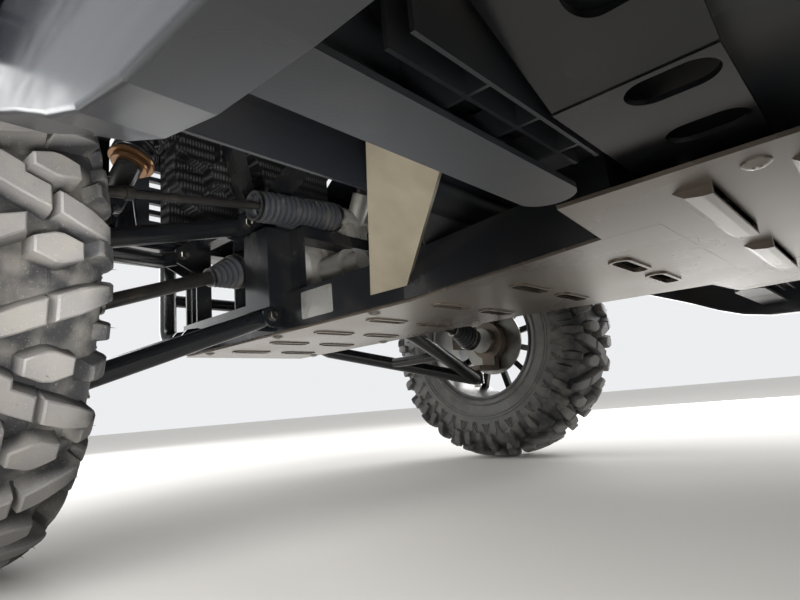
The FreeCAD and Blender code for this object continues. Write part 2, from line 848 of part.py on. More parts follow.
# Main frame: box rails, crossmembers, pivot plates, shock towers, outriggers and the cab's cowl hoop
rail_z = size.frame_bottom + size.rail_height / 2
rail_front = front_y - 330
rail_rear = rear_y + 270
rail_bend = front_y + 400
rail_wide_y = front_y + 733
cross_y = front_y + 775
sill_z = 440
sill_bar = 44
foot_z = 504
pillar_front_y = -560
pillar_rear_y = 600
cowl_y = -585
rear_wall_y = 622
cowl_top = 906
upper_rail_z = size.upper_pivot_z + 36
rear_rail_z = 640
bed_hinge = Vector(242, rear_y + 230, rear_rail_z)
bonnet_hinge_y = -650
bonnet_hinge_z = 1022
bush_half = size.bush_length / 2 + size.seat_clear
sheet_t = size.sheet_thick
bar_half = size.bar_size / 2
rail_wide, rail_tall = size.rail_width, size.rail_height
front_x, mid_x = size.front_rail_x, size.mid_rail_x


def plate_across(corners, y_low):
    """Sheet standing across the vehicle; corners are (x, z)."""
    points = [Vector(x_at, y_low, z_at) for x_at, z_at in corners]
    return prism(points, Y_AXIS * sheet_t)


def pivot_plates(pivot, corners, inner=None):
    """Two sheets either side of a bush, with the bolt through them."""
    reach = Y_AXIS * (bush_half + 10)
    return [
        plate_across(corners, pivot.y + bush_half),
        plate_across(inner or corners, pivot.y - bush_half - sheet_t),
        rod(pivot - reach, pivot + reach, 6),
    ]


def pivot_corners(pivot, rail_x):
    """Bracket welded to the rail's side, round the pivot."""
    inner = rail_x + size.rail_width / 2 - 6
    return [
        (inner, pivot.z - 22),
        (pivot.x + 6, pivot.z - 22),
        (pivot.x + 20, pivot.z - 8),
        (pivot.x + 20, pivot.z + 8),
        (pivot.x + 6, pivot.z + 24),
        (inner, min(pivot.z + 30, rail_top)),
    ]


def upright_corners(pivot, rail_x, top):
    """Tall plate from the rail up past the upper pivot."""
    inner = rail_x - size.rail_width / 2 + 6
    outer = rail_x + size.rail_width / 2
    return [
        (inner, rail_top - 14),
        (outer, rail_top - 14),
        (outer, pivot.z - 42),
        (pivot.x + 16, pivot.z - 20),
        (pivot.x + 20, pivot.z + 12),
        (outer, top),
        (inner, top),
    ]


def square_bars(table):
    """Left-hand square bars from a table of start and end points."""
    return [bar(Vector(*start), Vector(*end), size.bar_size, size.bar_size) for start, end in table]


def cross_bars(table):
    """Bars across the vehicle: y, middle height, half length, width, height."""
    return [
        bar(Vector(-reach, y_at, z_at), Vector(reach, y_at, z_at), wide, tall)
        for y_at, z_at, reach, wide, tall in table
    ]


def frame_group(label, left, across, neighbours):
    """Left pieces with their right twins and the bars across, ending at the faces that they are welded to."""
    shape = fused(left + [mirrored(piece) for piece in left] + across)
    if neighbours:
        shape = shape.cut(neighbours)
    feature(label, shape)
    return shape


# Rails, the bars across between them and the lower arms' brackets
rails_left = [
    bar(Vector(*start, rail_z), Vector(*end, rail_z), rail_wide, rail_tall)
    for start, end in (
        ((front_x, rail_front), (front_x, rail_bend + 6)),
        ((front_x, rail_bend - 6), (mid_x, rail_wide_y + 6)),
        ((mid_x, rail_wide_y - 6), (mid_x, rail_rear)),
    )
]
bracket_left = []
for pivot in (lower_front_pivot, lower_rear_pivot):
    bracket_left += pivot_plates(pivot, pivot_corners(pivot, front_x))
for pivot in rear_lower_pivots:
    bracket_left += pivot_plates(pivot, pivot_corners(pivot, mid_x))
diff_seat = diff_middle.z - 96 - size.seat_clear
drive_seat = drive_middle.z - 104 - size.seat_clear
rail_cross = cross_bars(
    (
        (rail_front + 22, rail_z, front_x, 44, 50),
        (front_y - 45, (size.frame_bottom + diff_seat) / 2, front_x, 60, diff_seat - size.frame_bottom),
        (rail_bend, size.frame_bottom + 20, front_x, 40, 40),
        (cross_y, size.frame_bottom + 16, size.mid_skid_half, 50, 32),
        (150, rail_z, mid_x, 40, 50),
        (660, rail_top - 20, mid_x, 40, 40),
        (940, rail_top - 20, mid_x, 40, 40),
        (rear_y, (size.frame_bottom + drive_seat) / 2, mid_x, 60, drive_seat - size.frame_bottom),
        (rail_rear - 22, rail_z, mid_x, 44, 50),
    )
)
rail_pair = frame_group("frame_rails", rails_left, [], [])
cross_members = frame_group("frame_cross_members", [], rail_cross, [rail_pair])
brackets = frame_group("lower_arm_brackets", bracket_left, [], [rail_pair, cross_members])
rails = Part.makeCompound([rail_pair, cross_members, brackets])

# Front subframe: uprights, upper rails, ties to the cowl, shock towers and the rack's crossmember
upper_top = upper_rail_z + bar_half
tower_z = shock_top.z + 36
front_left = pivot_plates(upper_front_pivot, upright_corners(upper_front_pivot, front_x, upper_top))
rear_upright = upright_corners(upper_rear_pivot, front_x, upper_top)
ear_low = size.upper_pivot_z - 38
ear = [corner for corner in rear_upright if corner[1] >= ear_low]
front_left += pivot_plates(upper_rear_pivot, rear_upright, [(front_x - 16, ear_low)] + ear)
straight = [corner for corner in rear_upright if corner[0] < upper_rear_pivot.x]
front_left.append(plate_across(straight, front_y - 99))
# Channel behind the upright, low enough to pass under the rack's bellows
channel_out = upper_rear_pivot.x + 8
channel_y = upper_rear_pivot.y + bush_half
channel_top = size.rack_height - 50
channel_length = 80
front_left.append(
    box(channel_out - sheet_t, channel_out, channel_y, channel_y + channel_length, rail_top - 30, channel_top)
)
front_left.append(
    box(front_x, channel_out, channel_y + channel_length - sheet_t, channel_y + channel_length,
        rail_top - 30, channel_top)
)
front_left += square_bars(
    (
        ((front_x + 6, rail_front, upper_rail_z), (front_x + 6, front_y + 12, upper_rail_z)),
        ((front_x + 6, front_y + 4, upper_rail_z), (front_x + 4, cowl_y, upper_rail_z + 196)),
        ((front_x, rail_front + 16, rail_top - 10), (front_x, rail_front + 16, upper_top)),
        ((front_x + 6, front_y - 48, upper_top - 8), (upper_pivot_x + 40, front_y - 48, tower_z)),
    )
)
front_left += shock_ears(shock_top, front_shock_way, 34)
front_left.append(
    box(front_x - 8, front_x + 8, rack_y - 20, rack_y + 20, rail_top - 6, size.rack_height - 50)
)
nose_foot = 600 - size.seat_clear
front_left.append(
    box(front_x - 10, front_x + 22, rail_front - 54, rail_front + 4, upper_rail_z - bar_half, nose_foot)
)
front_across = cross_bars(
    (
        (rail_front + 22, upper_rail_z, front_x, size.bar_size, size.bar_size),
        (front_y - 48, tower_z, upper_pivot_x + 132, size.bar_size, size.bar_size),
        (rail_front + 50, upper_top, front_x, 40, 8),
        (rack_y, size.rack_height - 44 - 12.3, front_x, 44, 24),
    )
)
front_subframe = frame_group("front_subframe", front_left, front_across, [rails])

# Cowl: posts, the bar under the dashboard, and the bonnet's hinge brackets with their pins
cowl_left = square_bars((((front_x + 4, cowl_y, rail_top - 6), (front_x + 4, cowl_y, cowl_top - 4)),))
bracket_x = 246
cowl_left.append(
    prism(
        [
            Vector(bracket_x, bonnet_hinge_y - 12, cowl_top - 20),
            Vector(bracket_x, cowl_y + 8, cowl_top - 20),
            Vector(bracket_x, cowl_y + 8, cowl_top - 6),
            Vector(bracket_x, bonnet_hinge_y + 10, cowl_top - 4),
            Vector(bracket_x, bonnet_hinge_y + 8, bonnet_hinge_z),
            Vector(bracket_x, bonnet_hinge_y - 8, bonnet_hinge_z),
        ],
        X_AXIS * sheet_t,
    )
)
pin_start = Vector(bracket_x, bonnet_hinge_y, bonnet_hinge_z)
cowl_left.append(rod(pin_start, pin_start + X_AXIS * 16, 5))
cowl_across = cross_bars(((cowl_y, cowl_top - bar_half, sill_x - 65, size.bar_size, size.bar_size),))
cowl = frame_group("cowl_frame", cowl_left, cowl_across, [rails, front_subframe])

# Side frames: holed outrigger sheet under the tub, bars out to the sills, pillar feet, seat-base feet
sheet_low = size.frame_bottom + 13
sheet_front = cross_y + 40
sheet_long = 100
sheet_bend_x = 500
sheet_rise = prism(
    [
        Vector(sheet_bend_x - 4, sheet_front, sheet_low),
        Vector(sill_x - 10, sheet_front, sill_z - 20),
        Vector(sill_x - 10, sheet_front, sill_z - 15),
        Vector(sheet_bend_x - 4, sheet_front, sheet_low + sheet_t + 1),
    ],
    Y_AXIS * sheet_long,
)
sheet_flat = box(mid_x, sheet_bend_x, sheet_front, sheet_front + sheet_long, sheet_low, sheet_low + sheet_t)
oval_radius = 17
for hole_x in (300, 395, 478, 560):
    low = Vector(hole_x, cross_y + 97, sheet_low - 20)
    high = Vector(hole_x, cross_y + 97, sill_z)
    step = Y_AXIS * 22
    ends = [rod(low, high, oval_radius), rod(low + step, high + step, oval_radius)]
    between = box(hole_x - oval_radius, hole_x + oval_radius, low.y, low.y + 22, low.z, high.z)
    sheet_flat = sheet_flat.cut(ends + [between])
    sheet_rise = sheet_rise.cut(ends + [between])
side_left = [sheet_flat, sheet_rise]
seat_foot_y = (150, pillar_rear_y - 20)
for y_at in seat_foot_y:
    side_left.append(bar(Vector(mid_x, y_at, rail_z + 6), Vector(sill_x, y_at, sill_z), 40, 40))
    foot_x = sill_x - 99
    side_left.append(box(foot_x, foot_x + 34, y_at - 18, y_at + 18, 424, 478 - size.seat_clear))
sill_front = -425
side_left.append(
    bar(Vector(sill_x, sill_front, sill_z), Vector(sill_x, pillar_rear_y + 19, sill_z), sill_bar, sill_bar)
)
side_left.append(
    bar(
        Vector(sill_x, sill_front + 25, sill_z + 4),
        Vector(sill_x, pillar_front_y - 10, sill_z + 48),
        sill_bar,
        28,
    )
)
side_left.append(
    box(sill_x - 24, sill_x + 24, pillar_front_y - 24, pillar_front_y + 24, sill_z + 40, foot_z)
)
side_frames = frame_group("side_frames", side_left, [], [rails, front_subframe, cowl])

# Rear subframe: uprights, upper rails, bed posts, shock towers and the bed's hinge pins
bed_seat = size.bed_bottom - size.seat_clear
bed_post_y = size.bed_front + 32
rear_left = square_bars(
    (
        ((mid_x, rear_wall_y, rail_top - 6), (mid_x, rear_wall_y, rear_rail_z + 8)),
        ((mid_x, rear_wall_y - 16, rear_rail_z), (mid_x, rail_rear, rear_rail_z)),
        ((mid_x, rail_rear - 16, rail_top - 6), (mid_x, rail_rear - 16, rear_rail_z)),
        ((mid_x, bed_post_y, rear_rail_z), (mid_x, bed_post_y, bed_seat)),
        ((mid_x, rear_shock_top.y, rear_rail_z), (mid_x, rear_shock_top.y, rear_shock_top.z + 30)),
    )
)
rear_left.append(
    bar(
        Vector(mid_x - 16, rear_shock_top.y, rear_shock_top.z + 33),
        Vector(rear_shock_top.x + 20, rear_shock_top.y, rear_shock_top.z + 33),
        size.bar_size,
        20,
    )
)
rear_left += shock_ears(rear_shock_top, rear_shock_way, 34)
for pivot in rear_upper_pivots:
    rear_left += pivot_plates(pivot, upright_corners(pivot, mid_x, rear_rail_z))
rear_left.append(rod(Vector(mid_x, bed_hinge.y, bed_hinge.z), bed_hinge + X_AXIS * 12, 8))
rear_across = cross_bars(
    (
        (rear_wall_y, rear_rail_z, mid_x, size.bar_size, size.bar_size),
        (rail_rear - 16, rear_rail_z, mid_x, size.bar_size, size.bar_size),
    )
)
rear_subframe = frame_group("rear_subframe", rear_left, rear_across, [rails, side_frames])


# Skid plates under the rails, in three sheets with slots and pressed scoops
def skid(label, corners):
    plate = new_body(label, kept=False)
    low = "Sizes.frame_bottom - Sizes.skid_gap - Sizes.skid_thick"
    pad(plate, "XY_Plane", low, "Sizes.skid_thick", corners)
    return plate


skid_low = size.frame_bottom - size.skid_gap - size.skid_thick
skid_top = skid_low + size.skid_thick
skid_step = 10
mid_skid_rear = 560
seam_y = cross_y + 22
plate_clear = 0.3


def capsule(x_mid, y_mid, half_length, radius, z_low, z_high):
    """Upright slot shape with round ends, its length across the vehicle."""
    ends = [
        rod(
            Vector(x_mid + side * half_length, y_mid, z_low),
            Vector(x_mid + side * half_length, y_mid, z_high),
            radius,
        )
        for side in (-1, 1)
    ]
    middle_part = box(x_mid - half_length, x_mid + half_length, y_mid - radius, y_mid + radius, z_low, z_high)
    return fused(ends + [middle_part])


front_skid = skid(
    "front_skid_sheet",
    [
        ("-Sizes.front_skid_half", rail_front),
        ("Sizes.front_skid_half", rail_front),
        ("Sizes.front_skid_half", rail_bend),
        ("Sizes.mid_rail_x + Sizes.rail_width / 2", rail_wide_y),
        ("Sizes.mid_rail_x + Sizes.rail_width / 2", seam_y),
        ("-Sizes.mid_rail_x - Sizes.rail_width / 2", seam_y),
        ("-Sizes.mid_rail_x - Sizes.rail_width / 2", rail_wide_y),
        ("-Sizes.front_skid_half", rail_bend),
    ],
)
# Slots in two rows, each with a pressed rim that stands below the sheet
slot_first = front_y - 206
slot_pitch = 152
slot_rims = []
slot_holes = []
for index in range(7):
    for side in (-1, 1):
        place = (side * 70, slot_first + slot_pitch * index)
        slot_rims.append(capsule(*place, 36, 15, skid_low - 2.5, skid_low + 1))
        slot_holes.append(capsule(*place, 36, 10, skid_low - 5, skid_top + 5))
front_plate = front_skid.Shape.multiFuse(slot_rims).cut(slot_holes)

mid_edge = "Sizes.mid_rail_x + Sizes.rail_width / 2 + %s" % plate_clear
mid_skid = skid(
    "middle_skid_sheet",
    [
        (mid_edge, seam_y + plate_clear),
        (mid_edge, rail_wide_y + 2),
        ("Sizes.mid_skid_half", cross_y - 24),
        ("Sizes.mid_skid_half", mid_skid_rear),
        ("-Sizes.mid_skid_half", mid_skid_rear),
        ("-Sizes.mid_skid_half", cross_y - 24),
        ("-(" + mid_edge + ")", rail_wide_y + 2),
        ("-(" + mid_edge + ")", seam_y + plate_clear),
    ],
)
# Pressed scoops, open to the rear: x of the middle, y, half length
scoops = []
scoop_rooms = []
for x_mid, y_mid, half_length in (
    (218, -150, 100),
    (-70, -150, 100),
    (218, -62, 100),
    (-70, -62, 100),
    (218, 26, 100),
    (-70, 26, 100),
    (150, 410, 100),
    (-150, 410, 100),
    (150, 490, 100),
    (-150, 490, 100),
):
    start = Vector(x_mid - half_length, y_mid, skid_low)
    hood = [Vector(0, -18, 0.5), Vector(0, -8, -7), Vector(0, 6, -9), Vector(0, 14, -9), Vector(0, 14, 0.5)]
    room = [Vector(0, -12, 6), Vector(0, -6, -4.5), Vector(0, 6, -6.5), Vector(0, 15, -6.5), Vector(0, 15, 6)]
    scoops.append(prism([start + corner for corner in hood], X_AXIS * 2 * half_length))
    inner_start = start + X_AXIS * 6
    scoop_rooms.append(prism([inner_start + corner for corner in room], X_AXIS * 2 * (half_length - 6)))
mid_plate = mid_skid.Shape.multiFuse(scoops).cut(scoop_rooms)

rear_skid = skid(
    "rear_skid_sheet",
    [
        ("-Sizes.mid_rail_x - Sizes.rail_width / 2", mid_skid_rear + plate_clear),
        ("Sizes.mid_rail_x + Sizes.rail_width / 2", mid_skid_rear + plate_clear),
        ("Sizes.mid_rail_x + Sizes.rail_width / 2", rail_rear),
        ("-Sizes.mid_rail_x - Sizes.rail_width / 2", rail_rear),
    ],
)
feature("skid_plates", Part.makeCompound([front_plate, mid_plate, rear_skid.Shape]))


# Floor tub: a moulded tray with footwells either side of the tunnel and a sloping toe board
def tub_solid(shrink, top_extra):
    half = sill_x - 65 - shrink
    low = size.tub_bottom + shrink
    tunnel = size.tunnel_half + shrink
    tunnel_top = rail_top + 6 + shrink
    section = [
        (-half, 920 + top_extra),
        (-half, sill_z),
        (-half + 70, low + 14),
        (-half + 110, low),
        (-tunnel, low),
        (-tunnel + 8, tunnel_top),
        (tunnel - 8, tunnel_top),
        (tunnel, low),
        (half - 110, low),
        (half - 70, low + 14),
        (half, sill_z),
        (half, 920 + top_extra),
    ]
    across = prism([Vector(x_at, -700, z_at) for x_at, z_at in section], Y_AXIS * 900)
    front = -556 + shrink
    rear = 110 - shrink
    side = [
        (front, 905 - size.seat_clear + top_extra * 2),
        (front, 575 + shrink * 0.4),
        (-size.tub_toe_y + 0.6 * shrink, low),
        (rear, low),
        (rear, size.sill_height + top_extra * 2),
        (-380, size.sill_height + top_extra * 2),
        (-460, 905 - size.seat_clear + top_extra * 2),
    ]
    return across.common(prism([Vector(-700, y_at, z_at) for y_at, z_at in side], X_AXIS * 1400))


tub = tub_solid(0, 0).cut(tub_solid(size.panel_wall, 40))
column_way = Vector(0, -math.cos(math.radians(size.column_angle)), -math.sin(math.radians(size.column_angle)))
wheel_centre = Vector(seat_x, -160, 1018)
column_end = wheel_centre + column_way * 330
shaft_way = (pinion_high - column_end).normalize()
column_clear = [
    rod(wheel_centre, column_end + column_way * 30, 27),
    rod(column_end, pinion_high, 16),
]
# The tub's front edge: a round-ended flat lip low down, the web above it, and ribs behind
lip_low = size.frame_bottom - 3
lip_front = -265
lip_width = 50
lip_in = size.mid_skid_half + 37
lip_out = size.body_half - 88
lip_wall = size.panel_wall
lip_round = Vector(lip_in, lip_front + lip_width / 2, lip_low)
lip_parts = [
    box(lip_in, lip_out, lip_front, lip_front + lip_width, lip_low, lip_low + lip_wall),
    rod(lip_round, lip_round + Z_AXIS * lip_wall, lip_width / 2),
]
web = [(lip_in, 0), (lip_out, 0), (lip_out, 26), (sill_x - 65, 108), (560, 76), (500, 62), (lip_in, 62)]
rib = [
    (lip_in, 18),
    (lip_out - 60, 18),
    (lip_out - 60, 84),
    (sill_x - 65, 108),
    (535, 54),
    (490, 40),
    (lip_in, 40),
]
for profile, y_at, thick in ((web, lip_front, lip_wall), (rib, -212, 3), (rib, -194, 3)):
    corners = [Vector(x_at, y_at, lip_low + up) for x_at, up in profile]
    lip_parts.append(prism(corners, Y_AXIS * thick))
for rib_x, rib_up in ((440, 42), (500, 42), (560, 80)):
    lip_parts.append(box(rib_x, rib_x + 3, lip_front + 2, -192, lip_low + 18, lip_low + rib_up))
lip = fused(lip_parts).cut(tub_solid(size.panel_wall, 40))
tub = fused([tub, lip, mirrored(lip)])
feature("floor_tub", tub.cut(column_clear + [front_subframe, cowl, side_frames]))

# Gussets: channels from the rails' outer side up to the tub's toe board, wider at the top
gusset_foot = (Vector(180, front_y + 319, 358), Vector(181, front_y + 401, 357))
gusset_head = (Vector(340, front_y + 488, 499), Vector(282, front_y + 550, 444))
gusset_front = gusset_foot[0] + (gusset_head[0] - gusset_foot[0]) * 1.3
gusset_rear = gusset_foot[1] + (gusset_head[1] - gusset_foot[1]) * 1.5
gusset_in = (gusset_head[0] - gusset_foot[0]).cross(gusset_foot[1] - gusset_foot[0]).normalize()
if gusset_in.x > 0:
    gusset_in = gusset_in * -1
gusset_rear = gusset_rear - gusset_in * (gusset_rear - gusset_foot[0]).dot(gusset_in)
gusset_face = [gusset_foot[0], gusset_foot[1], gusset_rear, gusset_front]
gusset_parts = [prism(gusset_face, gusset_in * 3)]
for low, high, inward in (
    (gusset_foot[0], gusset_front, (gusset_foot[1] - gusset_foot[0]).normalize()),
    (gusset_foot[1], gusset_rear, (gusset_foot[0] - gusset_foot[1]).normalize()),
):
    flange = [low, high, high + gusset_in * 18, low + gusset_in * 18]
    gusset_parts.append(prism(flange, inward * 3))
gusset = fused(gusset_parts).cut([rails, front_subframe, cowl, tub_solid(-0.3, 0)])
gusset = max(gusset.Solids, key=lambda piece: piece.Volume)
feature("frame_gussets", both_sides(gusset))

column_shape = fused(
    [
        rod(wheel_centre + column_way * 34, column_end, 21),
        rod(column_end - column_way * 4, column_end + column_way * 18, 16),
        rod(column_end + column_way * 10, pinion_high - shaft_way * 0.3, 9.5),
        rod(pinion_high - shaft_way * 34, pinion_high - shaft_way * 0.3, 14),
    ]
)
feature("steering_column", column_shape.cut(rod(pinion_low, pinion_high, 22)))

# Steering wheel: rim, three spokes and a hub on the column
wheel_parts = [
    Part.makeTorus(size.wheel_rim_radius, size.wheel_tube),
    Part.makeCylinder(44, 26, Vector(0, 0, -20)),
    Part.makeCylinder(24, 20, Vector(0, 0, -33.7)),
]
for turn_degrees in (0, 180, 270):
    spoke = box(30, size.wheel_rim_radius - 6, -17, 17, -8, 2)
    spoke.rotate(Vector(0, 0, 0), Z_AXIS, turn_degrees)
    wheel_parts.append(spoke)
steering_wheel = feature("steering_wheel", fused(wheel_parts))
wheel_turn = FreeCAD.Rotation(X_AXIS, size.column_angle - 90)
steering_wheel.Placement = FreeCAD.Placement(wheel_centre, wheel_turn)

# Dashboard: one hollow-backed moulding between the pillars, over the cowl hoop
dash = new_body("dashboard_blank", kept=False)
dash_half = sill_x - 70.6
dash_low = cowl_top + 0.3
dash_side = [
    (-636, dash_low),
    (-548, dash_low),
    (-548, 760),
    (-470, 692),
    (-420, 704),
    (-396, 860),
    (-322, 902),
    (-330, 958),
    (-420, 1004),
    (-600, 1012),
    (-636, 992),
]
pad(dash, "YZ_Plane", -dash_half, 2 * dash_half, dash_side)
inner_side = [
    (-542, cowl_top + 8),
    (-542, 768),
    (-476, 704),
    (-432, 716),
    (-408, 866),
    (-340, 908),
    (-424, 992),
    (-584, 996),
    (-584, cowl_top + 8),
]
pocket(dash, "YZ_Plane", -dash_half + 6.4, 2 * (dash_half - 6.4), inner_side, "hollow")


def dash_edge(edge):
    """The two long edges along the top that face the seats."""
    spot = middle(edge)
    return along(edge, X_AXIS) and spot.z > 950 and spot.y > -430 and edge.Length > 2 * dash_half - 5


rounded(dash, 12, dash_edge)
keep(cut_by(dash, Part.makeCompound(column_clear), "dashboard"), "dashboard")

# Seat base with the cab's back wall
seat_base = new_body("seat_base")
base_half = sill_x - 75
base_wall = 6
base_side = [(116, 478), (116, 640), (596, 640), (596, 880), (602, 880), (602, 478)]
base_room = [(122, 470), (122, 634), (596, 634), (596, 470)]
pad(seat_base, "YZ_Plane", -base_half, 2 * base_half, base_side)
pocket(seat_base, "YZ_Plane", -base_half + base_wall, 2 * (base_half - base_wall), base_room, "hollow")

cushion = new_body("seat_cushion_left", kept=False)
cushion_side = [
    (124, 640.3),
    (104, 690),
    (118, 752),
    (180, 776),
    (330, 762),
    (470, 771),
    (570, 771),
    (570, 640.3),
]
seat_side = seat_x - size.seat_width / 2
pad(cushion, "YZ_Plane", seat_side, "Sizes.seat_width", cushion_side)


def cushion_edge(edge):
    """Edges of the cushion's top at its sides, ahead of the back."""
    spot = middle(edge)
    at_side = abs(spot.x - seat_x) > size.seat_width / 2 - 10
    return not along(edge, X_AXIS) and spot.z > 700 and at_side and spot.y < 480


rounded(cushion, 30, cushion_edge)
pair_of(cushion, "seat_cushions")
back = new_body("seat_back_left", kept=False)
back_side = [
    (474, 771.6),
    (560, 771.6),
    (570, 900),
    (628, 1240),
    (612, 1330),
    (572, 1348),
    (536, 1300),
    (498, 1100),
    (452, 880),
]
pad(back, "YZ_Plane", seat_side, "Sizes.seat_width", back_side)
pair_of(back, "seat_backs")

# Pedals hanging from the dashboard, and the gear selector on it
pedal_parts = []
for pedal_x, pad_half in ((250, 34), (345, 24)):
    pedal_parts.append(
        fused(
            [
                bar(Vector(pedal_x, -452, 697), Vector(pedal_x, -440, 560), 10, 18),
                bar(Vector(pedal_x, -440, 572), Vector(pedal_x, -404, 500), pad_half * 2, 10),
            ]
        )
    )
lever = fused(
    [
        rod(Vector(60, -414, 780), Vector(60, -300, 850), 7),
        Part.makeSphere(20, Vector(60, -292, 856)),
    ]
)
dash_solid = dash.Shape
pedals = Part.makeCompound([piece.cut(dash_solid) for piece in pedal_parts] + [lever.cut(dash_solid)])
feature("pedals_and_selector", pedals)

# Roll cage: two side hoops, cross tubes and the door hinge brackets
cage_r = size.cage_tube / 2
cage_top = size.roof_height - size.roof_over_cage
pillar_top = 950
roof_edge_x = sill_x - 113
hoop_rear_y = 640
hoop = [
    Vector(sill_x, pillar_front_y, foot_z + size.seat_clear),
    Vector(sill_x, pillar_front_y, pillar_top),
    Vector(roof_edge_x, -235, cage_top),
    Vector(roof_edge_x, hoop_rear_y, cage_top),
    Vector(sill_x, pillar_rear_y, pillar_top),
    Vector(sill_x, pillar_rear_y, sill_z + sill_bar / 2 + size.seat_clear),
]
door_hinge = Vector(size.body_half - 8, -471, 0)
hinge_heights = (560, 860)


def hinge_points(height):
    """Where a door hinge bracket leaves the pillar, and its pin."""
    return Vector(sill_x, pillar_front_y, height), Vector(door_hinge.x, door_hinge.y, height)


cage_left = [tube(hoop, cage_r, size.cage_bend)]
for height in hinge_heights:
    pillar, pin = hinge_points(height)
    cage_left.append(bar(pillar, pin, 18, 6))
    cage_left.append(rod(pin - Z_AXIS * 3, pin + Z_AXIS * 3, 14))
    cage_left.append(rod(pin - Z_AXIS * 22, pin + Z_AXIS * 22, 5))
# Tabs that hold the fenders
rear_panel_y = 628
tab_end = size.body_half - size.panel_wall - size.seat_clear
cage_left.append(box(sill_x, tab_end, pillar_front_y - 10, pillar_front_y + 10, 690, 720))
cage_left.append(box(sill_x - 10, sill_x + 10, pillar_rear_y, rear_panel_y - size.seat_clear, 700, 740))
rear_bar_z = 1440
lean = (rear_bar_z - pillar_top) / (cage_top - pillar_top)
rear_bar_x = sill_x + (roof_edge_x - sill_x) * lean + 3
rear_bar_y = pillar_rear_y + (hoop_rear_y - pillar_rear_y) * lean - 1
cage_cross = [
    rod(Vector(-reach, y_at, z_at), Vector(reach, y_at, z_at), cage_r - thinner)
    for y_at, z_at, reach, thinner in (
        (-225, cage_top, roof_edge_x, 3),
        (250, cage_top, roof_edge_x, 3),
        (632, cage_top, roof_edge_x, 3),
        (604, 920, sill_x, 5),
        (rear_bar_y, rear_bar_z, rear_bar_x, 5),
    )
]
feature("roll_cage", fused(cage_left + [mirrored(piece) for piece in cage_left] + cage_cross))

# Roof: thin panel, crowned across the vehicle, with a lip down each side
roof_half = roof_edge_x + 58
roof_front, roof_rear = -345, 735
roof_wall = size.panel_wall
tube_top = cage_top + cage_r + 0.9
edge_drop = (size.roof_height - roof_wall - tube_top) * (roof_half / roof_edge_x) ** 2
roof_edge_z = size.roof_height - edge_drop
lip_z = roof_edge_z - 26


def crowned(half, top):
    left = Vector(-half, 0, top - edge_drop)
    right = Vector(half, 0, top - edge_drop)
    return Part.Arc(left, Vector(0, 0, top), right).toShape()


def roof_side(side):
    """The lip's end lines on one side, from the outer crown to the inner one."""
    outer_x = side * roof_half
    inner_x = side * (roof_half - roof_wall)
    corners = [
        Vector(outer_x, 0, roof_edge_z),
        Vector(outer_x, 0, lip_z),
        Vector(inner_x, 0, lip_z),
        Vector(inner_x, 0, roof_edge_z - roof_wall),
    ]
    return [Part.makeLine(first, last) for first, last in zip(corners, corners[1:])]


outer_crown = crowned(roof_half, size.roof_height)
inner_crown = crowned(roof_half - roof_wall, size.roof_height - roof_wall)
roof_edges = [outer_crown] + roof_side(1) + [inner_crown] + list(reversed(roof_side(-1)))
roof_face = Part.Face(Part.Wire(Part.__sortEdges__(roof_edges)))
roof_face.translate(Y_AXIS * roof_front)
feature("roof", roof_face.extrude(Y_AXIS * (roof_rear - roof_front)))


# Body panels
def side_prism(corners, x_low, x_high):
    """Side outline carried across a band of X; corners are (y, z)."""
    return prism([Vector(x_low, y_at, z_at) for y_at, z_at in corners], X_AXIS * (x_high - x_low))


def shell_of(corners, x_low, x_high, inner_corners, inner_low, inner_high):
    """Side outline across a band of X, hollowed by a second outline."""
    return side_prism(corners, x_low, x_high).cut(side_prism(inner_corners, inner_low, inner_high))


wall = size.panel_wall
clear = size.seat_clear
outer_x = size.body_half
fender_in = size.bonnet_half + size.bonnet_open
fender_front = -1395
fender_rear = -489
fender_low = sill_z + 38
arch_centre = Vector(0, front_y, 400)
fender_corners = [
    (fender_front, 640),
    (fender_front, 878),
    (-1320, 930),
    (-1100, 978),
    (-850, 1006),
    (-640, 1012),
    (fender_rear, 964),
    (fender_rear, fender_low),
    (-600, fender_low),
]
fender_inner = [
    (fender_front + wall, 600),
    (fender_front + wall, 874),
    (-1318, 924),
    (-1099, 972),
    (-850, 1000),
    (-640, 1006),
    (fender_rear - wall, 960),
    (fender_rear - wall, 400),
    (-600, 400),
]
fender = shell_of(fender_corners, fender_in, outer_x, fender_inner, 300, outer_x - wall)
arch_cut = rod(arch_centre, arch_centre + X_AXIS * 1000, size.arch_radius)
fender = fender.cut(arch_cut)
liner_in = fender_in + 105
liner = rod(arch_centre + X_AXIS * liner_in, arch_centre + X_AXIS * (outer_x - 2), size.arch_radius + wall)
liner = liner.cut([arch_cut, box(0, 1000, front_y - 600, front_y + 600, -200, fender_low + 2)])
liner = liner.cut(box(0, 1000, fender_front - 200, fender_front + wall, -200, 1200))
fender = fender.fuse(liner)
fender = fender.cut(box(sill_x - 105, outer_x - size.door_thick, -592, -480, fender_low - 1, 1100))
fender = fender.cut(box(300, sill_x - 64, -641, -480, 400, 1100))
# The splash liner runs on inboard behind the wheel, round the frame and the tub
splash = rod(arch_centre + X_AXIS * 204, arch_centre + X_AXIS * (sill_x - 61), size.arch_radius + wall)
splash = splash.common(box(0, 1000, -660, -500, fender_low - 8, 700))
splash = splash.cut([arch_cut, gusset, tub_solid(-clear, 0), cowl, side_frames, front_subframe])
fender = fender.fuse(splash)
fender = max(fender.Solids, key=lambda piece: piece.Volume)
for height in hinge_heights:
    pillar, pin = hinge_points(height)
    fender = fender.cut(bar(pillar, pin + (pin - pillar) * 0.2, 34, 18))
lamp_low, lamp_high = 770, 862
lamp_in, lamp_out = 372, 560
lamp_front = fender_front - 9
fender = fender.cut(box(lamp_in, lamp_out, fender_front - 25, fender_front + 25, lamp_low, lamp_high))
feature("front_fenders", both_sides(fender.removeSplitter()))

